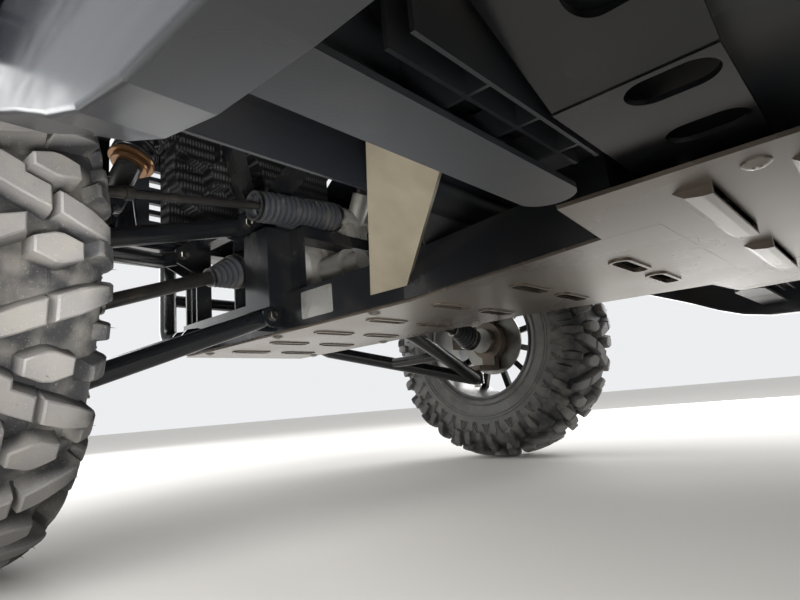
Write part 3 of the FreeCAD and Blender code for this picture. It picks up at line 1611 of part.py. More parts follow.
lamp = box(lamp_in + clear, lamp_out - clear, lamp_front, lamp_front + 18, lamp_low + clear, lamp_high - clear)
lamp_edges = [edge for edge in lamp.Edges if along(edge, Z_AXIS) and middle(edge).y < lamp_front + 4]
feature("head_lamps", both_sides(lamp.makeFillet(7, lamp_edges)))

nose = new_body("nose_panel")
nose_side = [(-1402, 600), (-1405, 700), (-1400, 892), (-1345, 892), (-1345, 600)]
nose_room = [(-1396, 606), (-1399, 700), (-1394, 886), (-1340, 886), (-1340, 606)]
pad(nose, "YZ_Plane", "-Sizes.bonnet_half", "2 * Sizes.bonnet_half", nose_side)
pocket(
    nose,
    "YZ_Plane",
    "-Sizes.bonnet_half + Sizes.panel_wall",
    "2 * (Sizes.bonnet_half - Sizes.panel_wall)",
    nose_room,
    "hollow",
)
grille_low, grille_high = 640, 840
grille_low_half, grille_high_half = 262, 290


def grille_outline(gap):
    """Tapered outline of the grille, smaller by a gap all round."""
    return [
        (-grille_low_half + gap, grille_low + gap),
        (grille_low_half - gap, grille_low + gap),
        (grille_high_half - gap, grille_high - gap),
        (-grille_high_half + gap, grille_high - gap),
    ]


pocket(nose, "XZ_Plane", 1340, 100, grille_outline(0), "grille_opening")
grille = new_body("grille")
pad(grille, "XZ_Plane", 1384, 14, grille_outline(clear))
for side_name, x_low, x_high in (("left", -240, -10), ("right", 10, 240)):
    gap = [(x_low, 656), (x_high, 656), (x_high, 674), (x_low, 674)]
    first = pocket(grille, "XZ_Plane", 1380, 30, gap, "gap_" + side_name)
    row_of(grille, first, "XZ_Plane", "Z_Axis", 150, 6)

bonnet_top = [(-1395, 898), (-1320, 948), (-1100, 998), (-850, 1028), (-646, 1040)]
bonnet_low = [(y_at, z_at - wall) for y_at, z_at in reversed(bonnet_top)]
bulge = [(-1240, 966), (-1180, 998), (-860, 1044), (-760, 1034), (-760, 1030), (-850, 1024), (-1100, 994)]
bulge_half = 170
ear_side = [
    (-664, 1035),
    (-640, 1036),
    (-640, bonnet_hinge_z - 8),
    (-656, bonnet_hinge_z - 12),
    (-664, bonnet_hinge_z - 4),
]
bonnet = new_body("bonnet_blank", kept=False)
pad(bonnet, "YZ_Plane", "-Sizes.bonnet_half", "2 * Sizes.bonnet_half", bonnet_top + bonnet_low)
pad(bonnet, "YZ_Plane", -bulge_half, 2 * bulge_half, bulge, "bulge")
for ear_name, ear_x in (("ear_left", 255), ("ear_right", -261)):
    pad(bonnet, "YZ_Plane", ear_x, 6, ear_side, ear_name)
bonnet_pin = Vector(300, bonnet_hinge_y, bonnet_hinge_z)
pin_clear = rod(bonnet_pin - X_AXIS * 600, bonnet_pin, 5 + clear)
keep(cut_by(bonnet, pin_clear, "bonnet"), "bonnet")

# Rocker panels: a skin under the doors, swept up ahead in a long curve and turned in along the bottom
rocker_out = outer_x - 34
rocker_turn = 44
rocker_front = [(-585, 462), (-516, 409), (-420, 368), (-358, 338), (-310, 320), (-257, 310), (-185, 307)]
rocker_rear = [(552, 315), (634, 430), (634, size.sill_height)]
rocker_corners = [(-585, size.sill_height)] + rocker_front + rocker_rear
rocker_inner = [
    (-600, 520),
    (-600, 470),
    (-513, 414),
    (-418, 373),
    (-356, 343),
    (-309, 325),
    (-257, 315),
    (-185, 312),
    (549, 320),
    (629, 431),
    (629, 520),
]
rocker = shell_of(rocker_corners, rocker_out - rocker_turn, rocker_out, rocker_inner, 500, rocker_out - wall)
# Turned-in flange against the sill bar
flange_in = sill_x + sill_bar / 2 + clear
rocker = rocker.fuse(box(flange_in, rocker_out - 1, -560, 630, 452, 457)).removeSplitter()
rocker_edges = [
    edge
    for edge in rocker.Edges
    if abs(middle(edge).x - rocker_out) < 0.01 and middle(edge).z < 440 and middle(edge).y < 560
]
feature("rocker_panels", both_sides(rocker.makeFillet(4, rocker_edges)))

rear_fender_in = size.bed_half + 7
rear_fender_corners = [
    (rear_panel_y, fender_low),
    (rear_panel_y, 958),
    (700, 990),
    (1300, 990),
    (1430, 935),
    (1452, 800),
    (1440, 610),
]
rear_inner = [
    (rear_panel_y + wall, 400),
    (rear_panel_y + wall, 955),
    (701, 985),
    (1298, 985),
    (1425, 931),
    (1447, 800),
    (1435, 500),
]
rear_fender = shell_of(rear_fender_corners, rear_fender_in, outer_x, rear_inner, 500, outer_x - wall)
rear_arch = Vector(0, rear_y, 400)
rear_cut = rod(rear_arch, rear_arch + X_AXIS * 1000, size.rear_arch_radius)
rear_liner = rod(
    rear_arch + X_AXIS * rear_fender_in, rear_arch + X_AXIS * (outer_x - 2), size.rear_arch_radius + wall
)
rear_liner = rear_liner.cut([rear_cut, box(0, 1000, rear_y - 600, rear_y + 600, -200, fender_low + 2)])
rear_liner = rear_liner.common(box(0, 1000, rear_panel_y, 1446, 400, 1000))
rear_fender = rear_fender.cut(rear_cut).fuse(rear_liner)
tail_in = size.bed_half + 55
tail_out = tail_in + (outer_x - size.bed_half) * 0.49
tail_low, tail_high = 800, 900
rear_fender = rear_fender.cut(box(tail_in, tail_out, 1400, 1500, tail_low, tail_high)).removeSplitter()
feature("rear_fenders", both_sides(rear_fender))
tail = box(tail_in + clear, tail_out - clear, 1428, 1458, tail_low + clear, tail_high - clear)
feature("tail_lamps", both_sides(tail))

# Doors
door = new_body("door_blank", kept=False)
door_side = [(-480, 479), (616, 479), (621, 905), (560, 938), (0, 905), (-360, 950), (-480, 960)]
door_recess = [(-380, 560), (520, 560), (530, 820), (0, 800), (-380, 850)]
inner_recess = [(-400, 520), (560, 520), (560, 860), (-400, 860)]
pad(door, "YZ_Plane", "Sizes.body_half - Sizes.door_thick", "Sizes.door_thick", door_side)
pocket(door, "YZ_Plane", "Sizes.body_half - 12", 20, door_recess, "recess")
pocket(door, "YZ_Plane", "Sizes.body_half - Sizes.door_thick - 4", 20, inner_recess, "inner_recess")
hinge_cuts = []
for height in hinge_heights:
    pillar, pin = hinge_points(height)
    hinge_cuts.append(rod(pin - Z_AXIS * 9, pin + Z_AXIS * 9, 31))
    hinge_cuts.append(rod(pin - Z_AXIS * 24, pin + Z_AXIS * 24, 5 + clear))
door_left = cut_by(door, Part.makeCompound(hinge_cuts), "door_left")
keep(door_left, "door_left")
keep(mirror_of(door_left, "door_right"), "door_right")

# Cargo bed: tray with ribs on its floor, hinge ears below and the tailgate's ears behind
bed = new_body("cargo_bed_blank", kept=False)
bed_rear = "Sizes.bed_front + Sizes.bed_length"
bed_outline = [
    ("-Sizes.bed_half", "Sizes.bed_front"),
    ("Sizes.bed_half", "Sizes.bed_front"),
    ("Sizes.bed_half", bed_rear),
    ("-Sizes.bed_half", bed_rear),
]
bed_room = [
    ("-Sizes.bed_half + Sizes.bed_wall", "Sizes.bed_front + Sizes.bed_wall"),
    ("Sizes.bed_half - Sizes.bed_wall", "Sizes.bed_front + Sizes.bed_wall"),
    ("Sizes.bed_half - Sizes.bed_wall", bed_rear + " + 10"),
    ("-Sizes.bed_half + Sizes.bed_wall", bed_rear + " + 10"),
]
bed_rib = [
    (-490, "Sizes.bed_front + 50"),
    (-460, "Sizes.bed_front + 50"),
    (-460, bed_rear + " - 40"),
    (-490, bed_rear + " - 40"),
]
pad(bed, "XY_Plane", "Sizes.bed_bottom", "Sizes.bed_height", bed_outline)
pocket(bed, "XY_Plane", "Sizes.bed_bottom + Sizes.bed_wall", "Sizes.bed_height", bed_room, "load_space")
rib = pad(bed, "XY_Plane", "Sizes.bed_bottom + Sizes.bed_wall - 1", 9, bed_rib, "rib")
row_of(bed, rib, "XY_Plane", "X_Axis", 950, 8)
bed_parts = [bed.Shape]
for side in (-1, 1):
    ear_x = side * (bed_hinge.x - 3) - 4
    ear = prism(
        [
            Vector(ear_x, bed_hinge.y - 40, size.bed_bottom + 6),
            Vector(ear_x, bed_hinge.y + 40, size.bed_bottom + 6),
            Vector(ear_x, bed_hinge.y + 14, bed_hinge.z - 10),
            Vector(ear_x, bed_hinge.y, bed_hinge.z - 15),
            Vector(ear_x, bed_hinge.y - 14, bed_hinge.z - 10),
        ],
        X_AXIS * 8,
    )
    bed_parts.append(ear.cut(rod(bed_hinge - X_AXIS * 900, bed_hinge + X_AXIS * 400, 8 + clear)))
gate_y = size.bed_front + size.bed_length + 14
gate_z = size.bed_bottom + 12
gate_hinge_x = 500
gate_pin_r = 4
lug_round = 7
ear_corners = [(-14, -12), (5, -12), (5, 1), (1, 5), (-14, 5)]
for side in (-1, 1):
    centre = side * gate_hinge_x
    bed_parts.append(box(centre - 20, centre + 20, gate_y - 22, gate_y + 3, gate_z - 18, gate_z - 10))
    for ear_low in (centre - 20, centre + 14):
        corners = [Vector(ear_low, gate_y + back_by, gate_z + up) for back_by, up in ear_corners]
        bed_parts.append(prism(corners, X_AXIS * 6))
    bed_parts.append(rod(Vector(centre - 20, gate_y, gate_z), Vector(centre + 20, gate_y, gate_z), gate_pin_r))
feature("cargo_bed", fused(bed_parts))

gate = new_body("tailgate_blank", kept=False)
gate_low = gate_z + 9
gate_front = gate_y - 8
gate_top = "Sizes.bed_bottom + Sizes.bed_height"
gate_face = [
    ("-Sizes.bed_half + 6", gate_low),
    ("Sizes.bed_half - 6", gate_low),
    ("Sizes.bed_half - 6", gate_top),
    ("-Sizes.bed_half + 6", gate_top),
]
recess_face = [(-500, gate_low + 30), (-260, gate_low + 30), (-260, gate_low + 240), (-500, gate_low + 240)]
gate_back = gate_front + size.tailgate_thick
pad(gate, "XZ_Plane", -gate_back, "Sizes.tailgate_thick", gate_face)
gate_recess = pocket(gate, "XZ_Plane", -(gate_back + 5), 17, recess_face, "recess")
row_of(gate, gate_recess, "XZ_Plane", "X_Axis", 760, 3)
gate_parts = [gate.Shape]
for side in (-1, 1):
    centre = side * gate_hinge_x
    lug = box(centre - 12, centre + 12, gate_y - lug_round, gate_y + lug_round, gate_z, gate_low + 2)
    lug = lug.fuse(rod(Vector(centre - 12, gate_y, gate_z), Vector(centre + 12, gate_y, gate_z), lug_round))
    pin_room = rod(Vector(centre - 30, gate_y, gate_z), Vector(centre + 30, gate_y, gate_z), gate_pin_r + clear)
    gate_parts.append(lug.cut(pin_room))
feature("tailgate", fused(gate_parts))

# Engine block and silencer
engine = new_body("engine_block")
pad(engine, "XY_Plane", rail_top + clear, 320, [(-178, 645), (178, 645), (178, 945), (-178, 945)])
rounded(engine, 24, lambda edge: along(edge, Z_AXIS))
silencer_y = rear_y + 170
silencer_z = 535
silencer_section = ((-175, 0), (-175, 62), (-160, 76), (160, 76), (175, 62), (175, 0))
silencer = [turned(silencer_section, Vector(0, silencer_y, silencer_z), X_AXIS)]
strap_out = mid_x - rail_wide / 2 - clear
for x_low in (-strap_out, strap_out - 40):
    silencer.append(box(x_low, x_low + 40, silencer_y - 12, silencer_y + 12, 376, 500))
pipe = [
    Vector(120, silencer_y, silencer_z),
    Vector(120, silencer_y + 110, silencer_z),
    Vector(120, silencer_y + 180, silencer_z - 35),
]
silencer.append(tube(pipe, 21, 60))
feature("exhaust_silencer", fused(silencer))

# Radiator with its fan shroud
radiator_low = upper_top + 4 + clear
radiator_back = rail_front + 72
fan = Vector(130, radiator_back, 778)
fan_out = 128
ring = rod(fan - Y_AXIS * 2, fan + Y_AXIS * 42, fan_out)
radiator_parts = [
    box(-250, 250, rail_front + 30, radiator_back, radiator_low, 905),
    ring.cut(rod(fan - Y_AXIS * 3, fan + Y_AXIS * 50, fan_out - 6)),
    rod(fan - Y_AXIS * 2, fan + Y_AXIS * 46, 34),
]
for index in range(5):
    blade = bar(fan + Y_AXIS * 24, fan + Vector(0, 24, fan_out - 4), 6, 26)
    blade.rotate(fan, Y_AXIS, 72 * index)
    radiator_parts.append(blade)
feature("radiator", fused(radiator_parts))

# Front bumper: loop of tube with the winch plate between its legs
bumper_r = 21
bumper_y = size.overall_length / 2 - bumper_r
bumper_top = 700
front_half = [
    Vector(front_x, rail_front - clear, rail_z),
    Vector(front_x, -bumper_y, rail_z),
    Vector(front_x, -bumper_y, bumper_top),
]
front_loop = front_half + [Vector(-corner.x, corner.y, corner.z) for corner in reversed(front_half)]
plate_z = 398
bumper = fused(
    [
        tube(front_loop, bumper_r, 50),
        rod(Vector(-front_x, -bumper_y, 500), Vector(front_x, -bumper_y, 500), 16),
        box(-front_x, front_x, -bumper_y + 10, rail_front - 12, plate_z, plate_z + 6),
    ]
)
winch_y = (-bumper_y + rail_front) / 2
for x_at in (-84, 84):
    bumper = bumper.cut(rod(Vector(x_at, winch_y, plate_z - 18), Vector(x_at, winch_y, plate_z + 22), 5))
feature("front_bumper", bumper)

# Rear bumper: raised loop, and the hitch receiver below it with its pin hole clear on both sides
receiver_half = size.receiver_bore / 2 + 6
bore_half = size.receiver_bore / 2
rear_half = [
    Vector(mid_x, rail_rear + clear, rail_z),
    Vector(mid_x, rail_rear + 30, rail_z),
    Vector(mid_x, bumper_y, rail_z + 134),
    Vector(mid_x, bumper_y, 596),
]
rear_loop = rear_half + [Vector(-corner.x, corner.y, corner.z) for corner in reversed(rear_half)]
brace_y = rail_rear + 62
brace_z = rail_z + receiver_half + 8
receiver_end = bumper_y + bumper_r
pin_y = receiver_end - 51
rear_bumper = fused(
    [
        tube(rear_loop, bumper_r, 34),
        rod(Vector(-mid_x, brace_y, brace_z), Vector(mid_x, brace_y, brace_z), 16),
        box(
            -receiver_half,
            receiver_half,
            rail_rear + 6,
            receiver_end,
            rail_z - receiver_half,
            rail_z + receiver_half,
        ),
    ]
)
receiver_room = box(-bore_half, bore_half, rail_rear, receiver_end + 40, rail_z - bore_half, rail_z + bore_half)
pin_hole = rod(Vector(-60, pin_y, rail_z), Vector(60, pin_y, rail_z), size.receiver_pin / 2)
feature("rear_bumper", rear_bumper.cut([receiver_room, pin_hole]))

doc.recompute()
for item in doc.Objects:
    assert "Invalid" not in item.State and "Error" not in item.State, item.Label + " " + str(item.State)
os.makedirs("parts", exist_ok=True)
for node in nodes:
    assert not node.Shape.isNull() and node.Shape.isValid(), node.Label
    assert len(node.Shape.Solids) > 0, node.Label
    node.Shape.exportStep("parts/%s.step" % node.Label)
    print(node.Label, len(node.Shape.Solids), round(node.Shape.Volume / 1e3), "cm3")
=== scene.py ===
"""A side by side utility vehicle, seen from the ground beside its left front wheel.

Row frame, in metres: +X to the vehicle's left, -Y ahead, +Z up, the ground at z = 0.
"""

import math

import bmesh
import bpy
import numpy as np
from mathutils import Matrix, Vector
from mathutils.bvhtree import BVHTree


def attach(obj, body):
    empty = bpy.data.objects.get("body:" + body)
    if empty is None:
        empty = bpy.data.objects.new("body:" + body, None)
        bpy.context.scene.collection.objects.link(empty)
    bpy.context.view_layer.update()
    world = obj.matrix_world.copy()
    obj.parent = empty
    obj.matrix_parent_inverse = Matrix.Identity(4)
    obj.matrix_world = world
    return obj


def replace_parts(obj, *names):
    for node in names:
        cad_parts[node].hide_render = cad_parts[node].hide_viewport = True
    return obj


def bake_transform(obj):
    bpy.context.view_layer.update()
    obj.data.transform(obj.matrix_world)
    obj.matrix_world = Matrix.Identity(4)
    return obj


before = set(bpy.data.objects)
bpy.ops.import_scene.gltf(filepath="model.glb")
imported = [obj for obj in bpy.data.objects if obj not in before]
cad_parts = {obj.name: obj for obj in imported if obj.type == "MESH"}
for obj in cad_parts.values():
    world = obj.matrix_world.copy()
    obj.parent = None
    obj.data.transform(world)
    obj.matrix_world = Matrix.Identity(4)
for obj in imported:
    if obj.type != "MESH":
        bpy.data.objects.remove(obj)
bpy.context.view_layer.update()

# Camera: a phone's wide lens held near the ground behind the left front wheel, looking ahead
# and across the belly, a little tilted.
LENS_MM = 24.98
camera_place = Vector((0.827, -0.043, 0.170))
yaw, pitch, roll = math.radians(48.451), math.radians(10.957), math.radians(-4.877)
ahead = Vector((-math.sin(yaw) * math.cos(pitch), -math.cos(yaw) * math.cos(pitch), math.sin(pitch)))
level = Vector((-math.cos(yaw), math.sin(yaw), 0))
over = level.cross(ahead)
right = level * math.cos(roll) + over * math.sin(roll)
up = over * math.cos(roll) - level * math.sin(roll)
camera_data = bpy.data.cameras.new("camera")
camera_data.lens = LENS_MM
camera_data.sensor_width = 36
camera_data.clip_start = 0.01
camera = bpy.data.objects.new("camera", camera_data)
camera.matrix_world = Matrix((right, up, -ahead)).transposed().to_4x4()
camera.location = camera_place
bpy.context.scene.collection.objects.link(camera)
bpy.context.scene.camera = camera
bpy.context.scene.view_settings.view_transform = "Standard"


# Studio: a pale matt floor, a pale sky for the eye and for reflections, large soft lamps from the
# sides, from ahead and above, and two low ones that reach the suspension from beside the camera.
def linear(hex_colour, alpha=1.0):
    """An sRGB hex colour as linear red, green, blue and alpha."""
    parts = [int(hex_colour[k : k + 2], 16) / 255 for k in (1, 3, 5)]
    return [p / 12.92 if p <= 0.04045 else ((p + 0.055) / 1.055) ** 2.4 for p in parts] + [alpha]


def add_node(tree, kind, links, **settings):
    """Add a node: settings are its own properties, links maps a socket to a value or to an output."""
    new = tree.nodes.new("ShaderNode" + kind)
    for name, value in settings.items():
        setattr(new, name, value)
    for key, value in links.items():
        if isinstance(value, bpy.types.NodeSocket):
            tree.links.new(value, new.inputs[key])
        else:
            new.inputs[key].default_value = value
    return new


def new_material(name):
    """An empty material and its node tree."""
    material = bpy.data.materials.new(name)
    material.use_nodes = True
    material.node_tree.nodes.clear()
    return material, material.node_tree


def maths(tree, operation, *values):
    """The output of a maths node on one or two values."""
    return add_node(tree, "Math", dict(enumerate(values)), operation=operation).outputs[0]


def surface(tree, colour, roughness, **sockets):
    """Give a material its surface: a principled shader with this colour, roughness and other sockets."""
    shader = add_node(tree, "BsdfPrincipled", {"Base Color": colour, "Roughness": roughness, **sockets})
    add_node(tree, "OutputMaterial", {"Surface": shader.outputs[0]})


FLOOR_COLOUR, FLOOR_REACH = "#D9D6D1", 60.0
SKY_COLOUR, SKY_SHOWN, SKY_LIGHT = "#ECEEF0", 1.0, 0.85
floor_mesh = bpy.data.meshes.new("floor")
floor_corners = [(x * FLOOR_REACH, y * FLOOR_REACH, 0) for x, y in ((-1, -1), (1, -1), (1, 1), (-1, 1))]
floor_mesh.from_pydata(floor_corners, [], [(0, 1, 2, 3)])
floor = bpy.data.objects.new("floor", floor_mesh)
bpy.context.scene.collection.objects.link(floor)
matt_floor, tree = new_material("matt_floor")
surface(tree, linear(FLOOR_COLOUR), 0.9)
floor_mesh.materials.append(matt_floor)

world = bpy.data.worlds.new("soft_sky")
bpy.context.scene.world = world
world.use_nodes = True
tree = world.node_tree
tree.nodes.clear()
rays = add_node(tree, "LightPath", {})
seen = maths(tree, "MAXIMUM", rays.outputs["Is Camera Ray"], rays.outputs["Is Glossy Ray"])
seen = maths(tree, "MAXIMUM", seen, rays.outputs["Is Transmission Ray"])
shown_sky = add_node(tree, "Background", {"Color": linear(SKY_COLOUR), "Strength": SKY_SHOWN})
light_sky = add_node(tree, "Background", {"Color": linear(SKY_COLOUR), "Strength": SKY_LIGHT})
sky = add_node(tree, "MixShader", {0: seen, 1: light_sky.outputs[0], 2: shown_sky.outputs[0]})
add_node(tree, "OutputWorld", {"Surface": sky.outputs[0]})

# The two low lamps aren't mirrored in the coats
for lamp_name, place, aim, size_m, watts, spread_deg in (
    ("lamp_left", (4.2, 0.6, 2.2), (0.0, -0.2, 0.4), 3.0, 190, 180),
    ("lamp_right", (-4.2, -0.9, 1.5), (0.0, -0.4, 0.4), 3.0, 150, 180),
    ("lamp_ahead", (0.6, -5.0, 1.7), (0.0, -0.6, 0.5), 3.0, 120, 180),
    ("lamp_above", (0.4, 1.6, 5.0), (0.0, 0.3, 1.0), 3.5, 120, 180),
    ("lamp_low", (2.5, 1.1, 0.62), (0.3, -0.95, 0.42), 1.2, 55, 180),
    ("lamp_under", (0.76, -0.09, 0.06), (0.22, -1.0, 0.52), 0.2, 2.8, 56),
):
    lamp_data = bpy.data.lights.new(lamp_name, "AREA")
    lamp_data.shape = "DISK"
    lamp_data.size = size_m
    lamp_data.energy = watts
    lamp_data.spread = math.radians(spread_deg)
    lamp = bpy.data.objects.new(lamp_name, lamp_data)
    lamp.location = place
    lamp.visible_camera = False
    lamp.visible_glossy = lamp_name not in ("lamp_low", "lamp_under")
    lamp.rotation_euler = (Vector(aim) - Vector(place)).to_track_quat("-Z", "Y").to_euler()
    bpy.context.scene.collection.objects.link(lamp)


# Frame, arms, cage and bumpers: welded mild steel, shot-blasted and powder-coated satin black.
# The coat has a faint orange peel, and the undersides carry a thin film of road dust.
def noise(tree, cell_mm, stretch=(1, 1, 1)):
    """Noise over the object's own coordinates: its cells' size, and how far each axis draws them out."""
    spot = add_node(tree, "TexCoord", {})
    drawn = add_node(tree, "Mapping", {"Vector": spot.outputs["Object"], "Scale": [1 / k for k in stretch]})
    cells = add_node(tree, "TexNoise", {"Vector": drawn.outputs[0], "Scale": 1000 / cell_mm, "Detail": 3.0})
    return cells.outputs["Fac"]


def ranged(tree, value, old=(0, 1), new=(0, 1)):
    """A value carried from an old range to a new one, and held inside the new one."""
    limits = {"From Min": old[0], "From Max": old[1], "To Min": new[0], "To Max": new[1]}
    return add_node(tree, "MapRange", {"Value": value, **limits}).outputs[0]


def mixed(tree, amount, under, over):
    """One colour over another by an amount."""
    return add_node(tree, "Mix", {"Factor": amount, 6: under, 7: over}, data_type="RGBA").outputs[2]


def bumped(tree, height, depth, strength=1.0):
    """The normal of a surface with a relief of this height and depth in metres."""
    return add_node(tree, "Bump", {"Height": height, "Strength": strength, "Distance": depth}).outputs[0]


def dusty(tree, colour, dust_hex, patch_mm, low, high):
    """A colour with dust where a noise of patch_mm lies between low and high, and the dust's amount."""
    amount = ranged(tree, noise(tree, patch_mm), (low, high))
    return mixed(tree, amount, colour, linear(dust_hex)), amount


def coated(
    name, colour_hex, dust_hex, patch_mm, dust_from, dust_to, grain_mm, grain_depth_mm, rough, rough_dusty,
    stretch=(1, 1, 1), **sockets,
):
    """A painted, moulded or cast finish: its colour, dust in patches, and a grain that catches the light."""
    material, tree = new_material(name)
    colour, dust = dusty(tree, linear(colour_hex), dust_hex, patch_mm, dust_from, dust_to)
    grain = bumped(tree, noise(tree, grain_mm, stretch), grain_depth_mm / 1000)
    surface(tree, colour, ranged(tree, dust, new=(rough, rough_dusty)), Normal=grain, **sockets)
    return material


def wear(material, *names):
    """Give CAD nodes or new pieces one material."""
    for name in names:
        mesh = bpy.data.objects[name].data
        mesh.materials.clear()
        mesh.materials.append(material)


powder_coat = coated("satin_black_powder_coat", "#0F1012", "#2A2825", 90, 0.5, 0.95, 2.5, 0.04, 0.22, 0.42)
wear(powder_coat, "frame_rails", "frame_cross_members", "lower_arm_brackets", "front_subframe")
wear(powder_coat, "cowl_frame", "side_frames", "rear_subframe", "roll_cage")
wear(powder_coat, "front_arms", "rear_arms", "front_bumper", "rear_bumper")

# Gussets: bare pressed steel sheet, linished along its length and left unpainted under a clear film.
bare_steel = coated(
    "linished_bare_steel", "#A69D8A", "#7F7665", 90, 0.4, 0.95, 3.0, 0.05, 0.34, 0.5, (6, 1, 1), Metallic=0.75
)
wear(bare_steel, "frame_gussets")

# Skid plates: pressed steel sheet, coated and scuffed along its length by the ground, so it mirrors
# the floor softly. The coat is dark; its warm grey-brown colour here is a painted reflection of sandy
# ground, while the scuffs and dust patches are real.
scuffed_plate_painted_reflection = coated(
    "scuffed_skid_sheet_painted_reflection", "#575049", "#7F7567", 240, 0.3, 1.0, 4.0, 0.06, 0.24, 0.4, (1, 7, 1), Metallic=0.65
)
wear(scuffed_plate_painted_reflection, "skid_plates")

# Castings: cast aluminium housings and iron knuckles, rough from the sand mould.
cast_aluminium = coated(
    "sand_cast_aluminium", "#A8A59E", "#7B746A", 45, 0.45, 0.85, 1.4, 0.16, 0.42, 0.6, Metallic=0.7
)
wear(cast_aluminium, "front_differential", "rear_final_drive", "steering_rack", "engine_block")
cast_iron = coated("sand_cast_iron", "#5B534B", "#7D6C5A", 40, 0.42, 0.8, 1.2, 0.2, 0.5, 0.7, Metallic=0.45)
wear(cast_iron, "knuckle_left", "knuckle_right", "rear_knuckles")

# Turned and drawn steel: hubs, pedals and silencer, zinc plated. The tie rods and the column are
# oiled forgings.
zinc_steel = coated(
    "zinc_plated_steel", "#9C9A94", "#7C7468", 30, 0.5, 0.9, 0.8, 0.02, 0.3, 0.5, Metallic=1.0
)
wear(zinc_steel, "pedals_and_selector", "exhaust_silencer")
dark_steel = coated(
    "oiled_forged_steel", "#3C3A38", "#5B554C", 30, 0.5, 0.9, 0.8, 0.02, 0.32, 0.5, Metallic=0.8
)
wear(dark_steel, "tie_rods", "steering_column")
for corner in ("front_left", "front_right", "rear_left", "rear_right"):
    wear(zinc_steel, "hub_" + corner)

# Body panels: injection moulded polypropylene, near black and glossy outside. The mouldings are
# slightly uneven, the thin sills the most, so what they mirror is bent.
body_plastic = coated("glossy_moulded_panel", "#1A1B1E", "#35332F", 300, 0.55, 0.95, 260, 1.2, 0.16, 0.32)
wear(body_plastic, "front_fenders", "nose_panel", "bonnet", "rear_fenders", "door_left", "door_right", "roof")
warped_plastic = coated(
    "warped_moulded_sill", "#2A2C30", "#403F3D", 300, 0.5, 0.95, 90, 4.0, 0.22, 0.38, (1, 3, 1)
)
wear(warped_plastic, "rocker_panels")
grained_plastic = coated("grained_black_plastic", "#202225", "#45423D", 120, 0.5, 0.95, 1.2, 0.12, 0.34, 0.55)
wear(grained_plastic, "floor_tub", "dashboard", "seat_base", "grille", "cargo_bed", "tailgate")

# Tyres: moulded rubber with chunky lugs standing on a rounded carcass. Long lugs in two halves lean
# one way and the other in turn, with short six-sided ones between them and shoulder lugs down the
# side. Dust lies on them, and fine vent hairs are left from the mould.
def grid_quads(rows, columns, loop_rows=False, loop_columns=False):
    """Quads that join a grid of points; a looped direction joins its last line to its first."""
    r, c = np.meshgrid(
        np.arange(rows if loop_rows else rows - 1),
        np.arange(columns if loop_columns else columns - 1),
        indexing="ij",
    )
    r_next, c_next = (r + 1) % rows, (c + 1) % columns
    corners = (r * columns + c, r * columns + c_next, r_next * columns + c_next, r_next * columns + c)
    return np.stack(corners, -1).reshape(-1, 4)


def piece(name, shells, material, body, sharp_degrees=30):
    """Join shells, each a grid's points and quads, into one object on a body, and merge points that meet."""
    counts = np.cumsum([0] + [len(points) for points, quads in shells])
    points = np.concatenate([points for points, quads in shells])
    quads = np.concatenate([quads + first for (ignored, quads), first in zip(shells, counts)])
    mesh = bpy.data.meshes.new(name)
    mesh.from_pydata(points.tolist(), [], quads.tolist())
    solid = bmesh.new()
    solid.from_mesh(mesh)
    bmesh.ops.remove_doubles(solid, verts=solid.verts, dist=1e-6)
    bmesh.ops.dissolve_degenerate(solid, edges=solid.edges, dist=1e-7)
    bmesh.ops.recalc_face_normals(solid, faces=solid.faces)
    solid.to_mesh(mesh)
    solid.free()
    mesh.shade_smooth()
    mesh.set_sharp_from_angle(angle=math.radians(sharp_degrees))
    mesh.materials.append(material)
    made = bpy.data.objects.new(name, mesh)
    bpy.context.scene.collection.objects.link(made)
    if body:
        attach(made, body)
    return made


# The carcass: half width and radius at its widest and at its bead, and its radius at the crown
SIDE_WIDEST, BEAD, CROWN_RADIUS = (0.109, 0.258), (0.086, 0.1785), 0.328
# Shifts round the tyre are measured at this radius
LUG_RADIUS = 0.34
TREAD_PITCHES = 10


def meridian(run):
    """Half width and radius of the carcass at a run, in metres, from the middle of the tread.

    Above the widest point the profile is the superellipse |x/a|^3 + |(r - w)/b|^3 = 1, and below it a
    quarter of an ellipse draws in to the bead. The third value is the profile's whole length.
    """
    t = np.linspace(0, math.pi / 2, 300)
    wide, wide_radius = SIDE_WIDEST
    x = np.concatenate([wide * np.sin(t) ** (2 / 3), BEAD[0] + (wide - BEAD[0]) * np.cos(t[1:])])
    r_above = wide_radius + (CROWN_RADIUS - wide_radius) * np.cos(t) ** (2 / 3)
    r_below = wide_radius - (wide_radius - BEAD[1]) * np.sin(t[1:])
    r = np.concatenate([r_above, r_below])
    length = np.concatenate([[0], np.cumsum(np.hypot(np.diff(x), np.diff(r)))])
    return np.interp(run, length, x), np.interp(run, length, r), length[-1]


def on_carcass(run, height, angle):
    """Points that stand a height off the carcass at a run across it and an angle round the axle."""
    step = 1e-4
    x, r = meridian(np.abs(run))[:2]
    x_on, r_on = meridian(np.abs(run) + step)[:2]
    x_off, r_off = meridian(np.maximum(np.abs(run) - step, 0))[:2]
    slope = np.hypot(x_on - x_off, r_on - r_off)
    x = np.where(run < 0, -1, 1) * (x - height * (r_on - r_off) / slope)
    r = r + height * (x_on - x_off) / slope
    return np.stack(np.broadcast_arrays(x, r * np.sin(angle), -r * np.cos(angle)), -1)


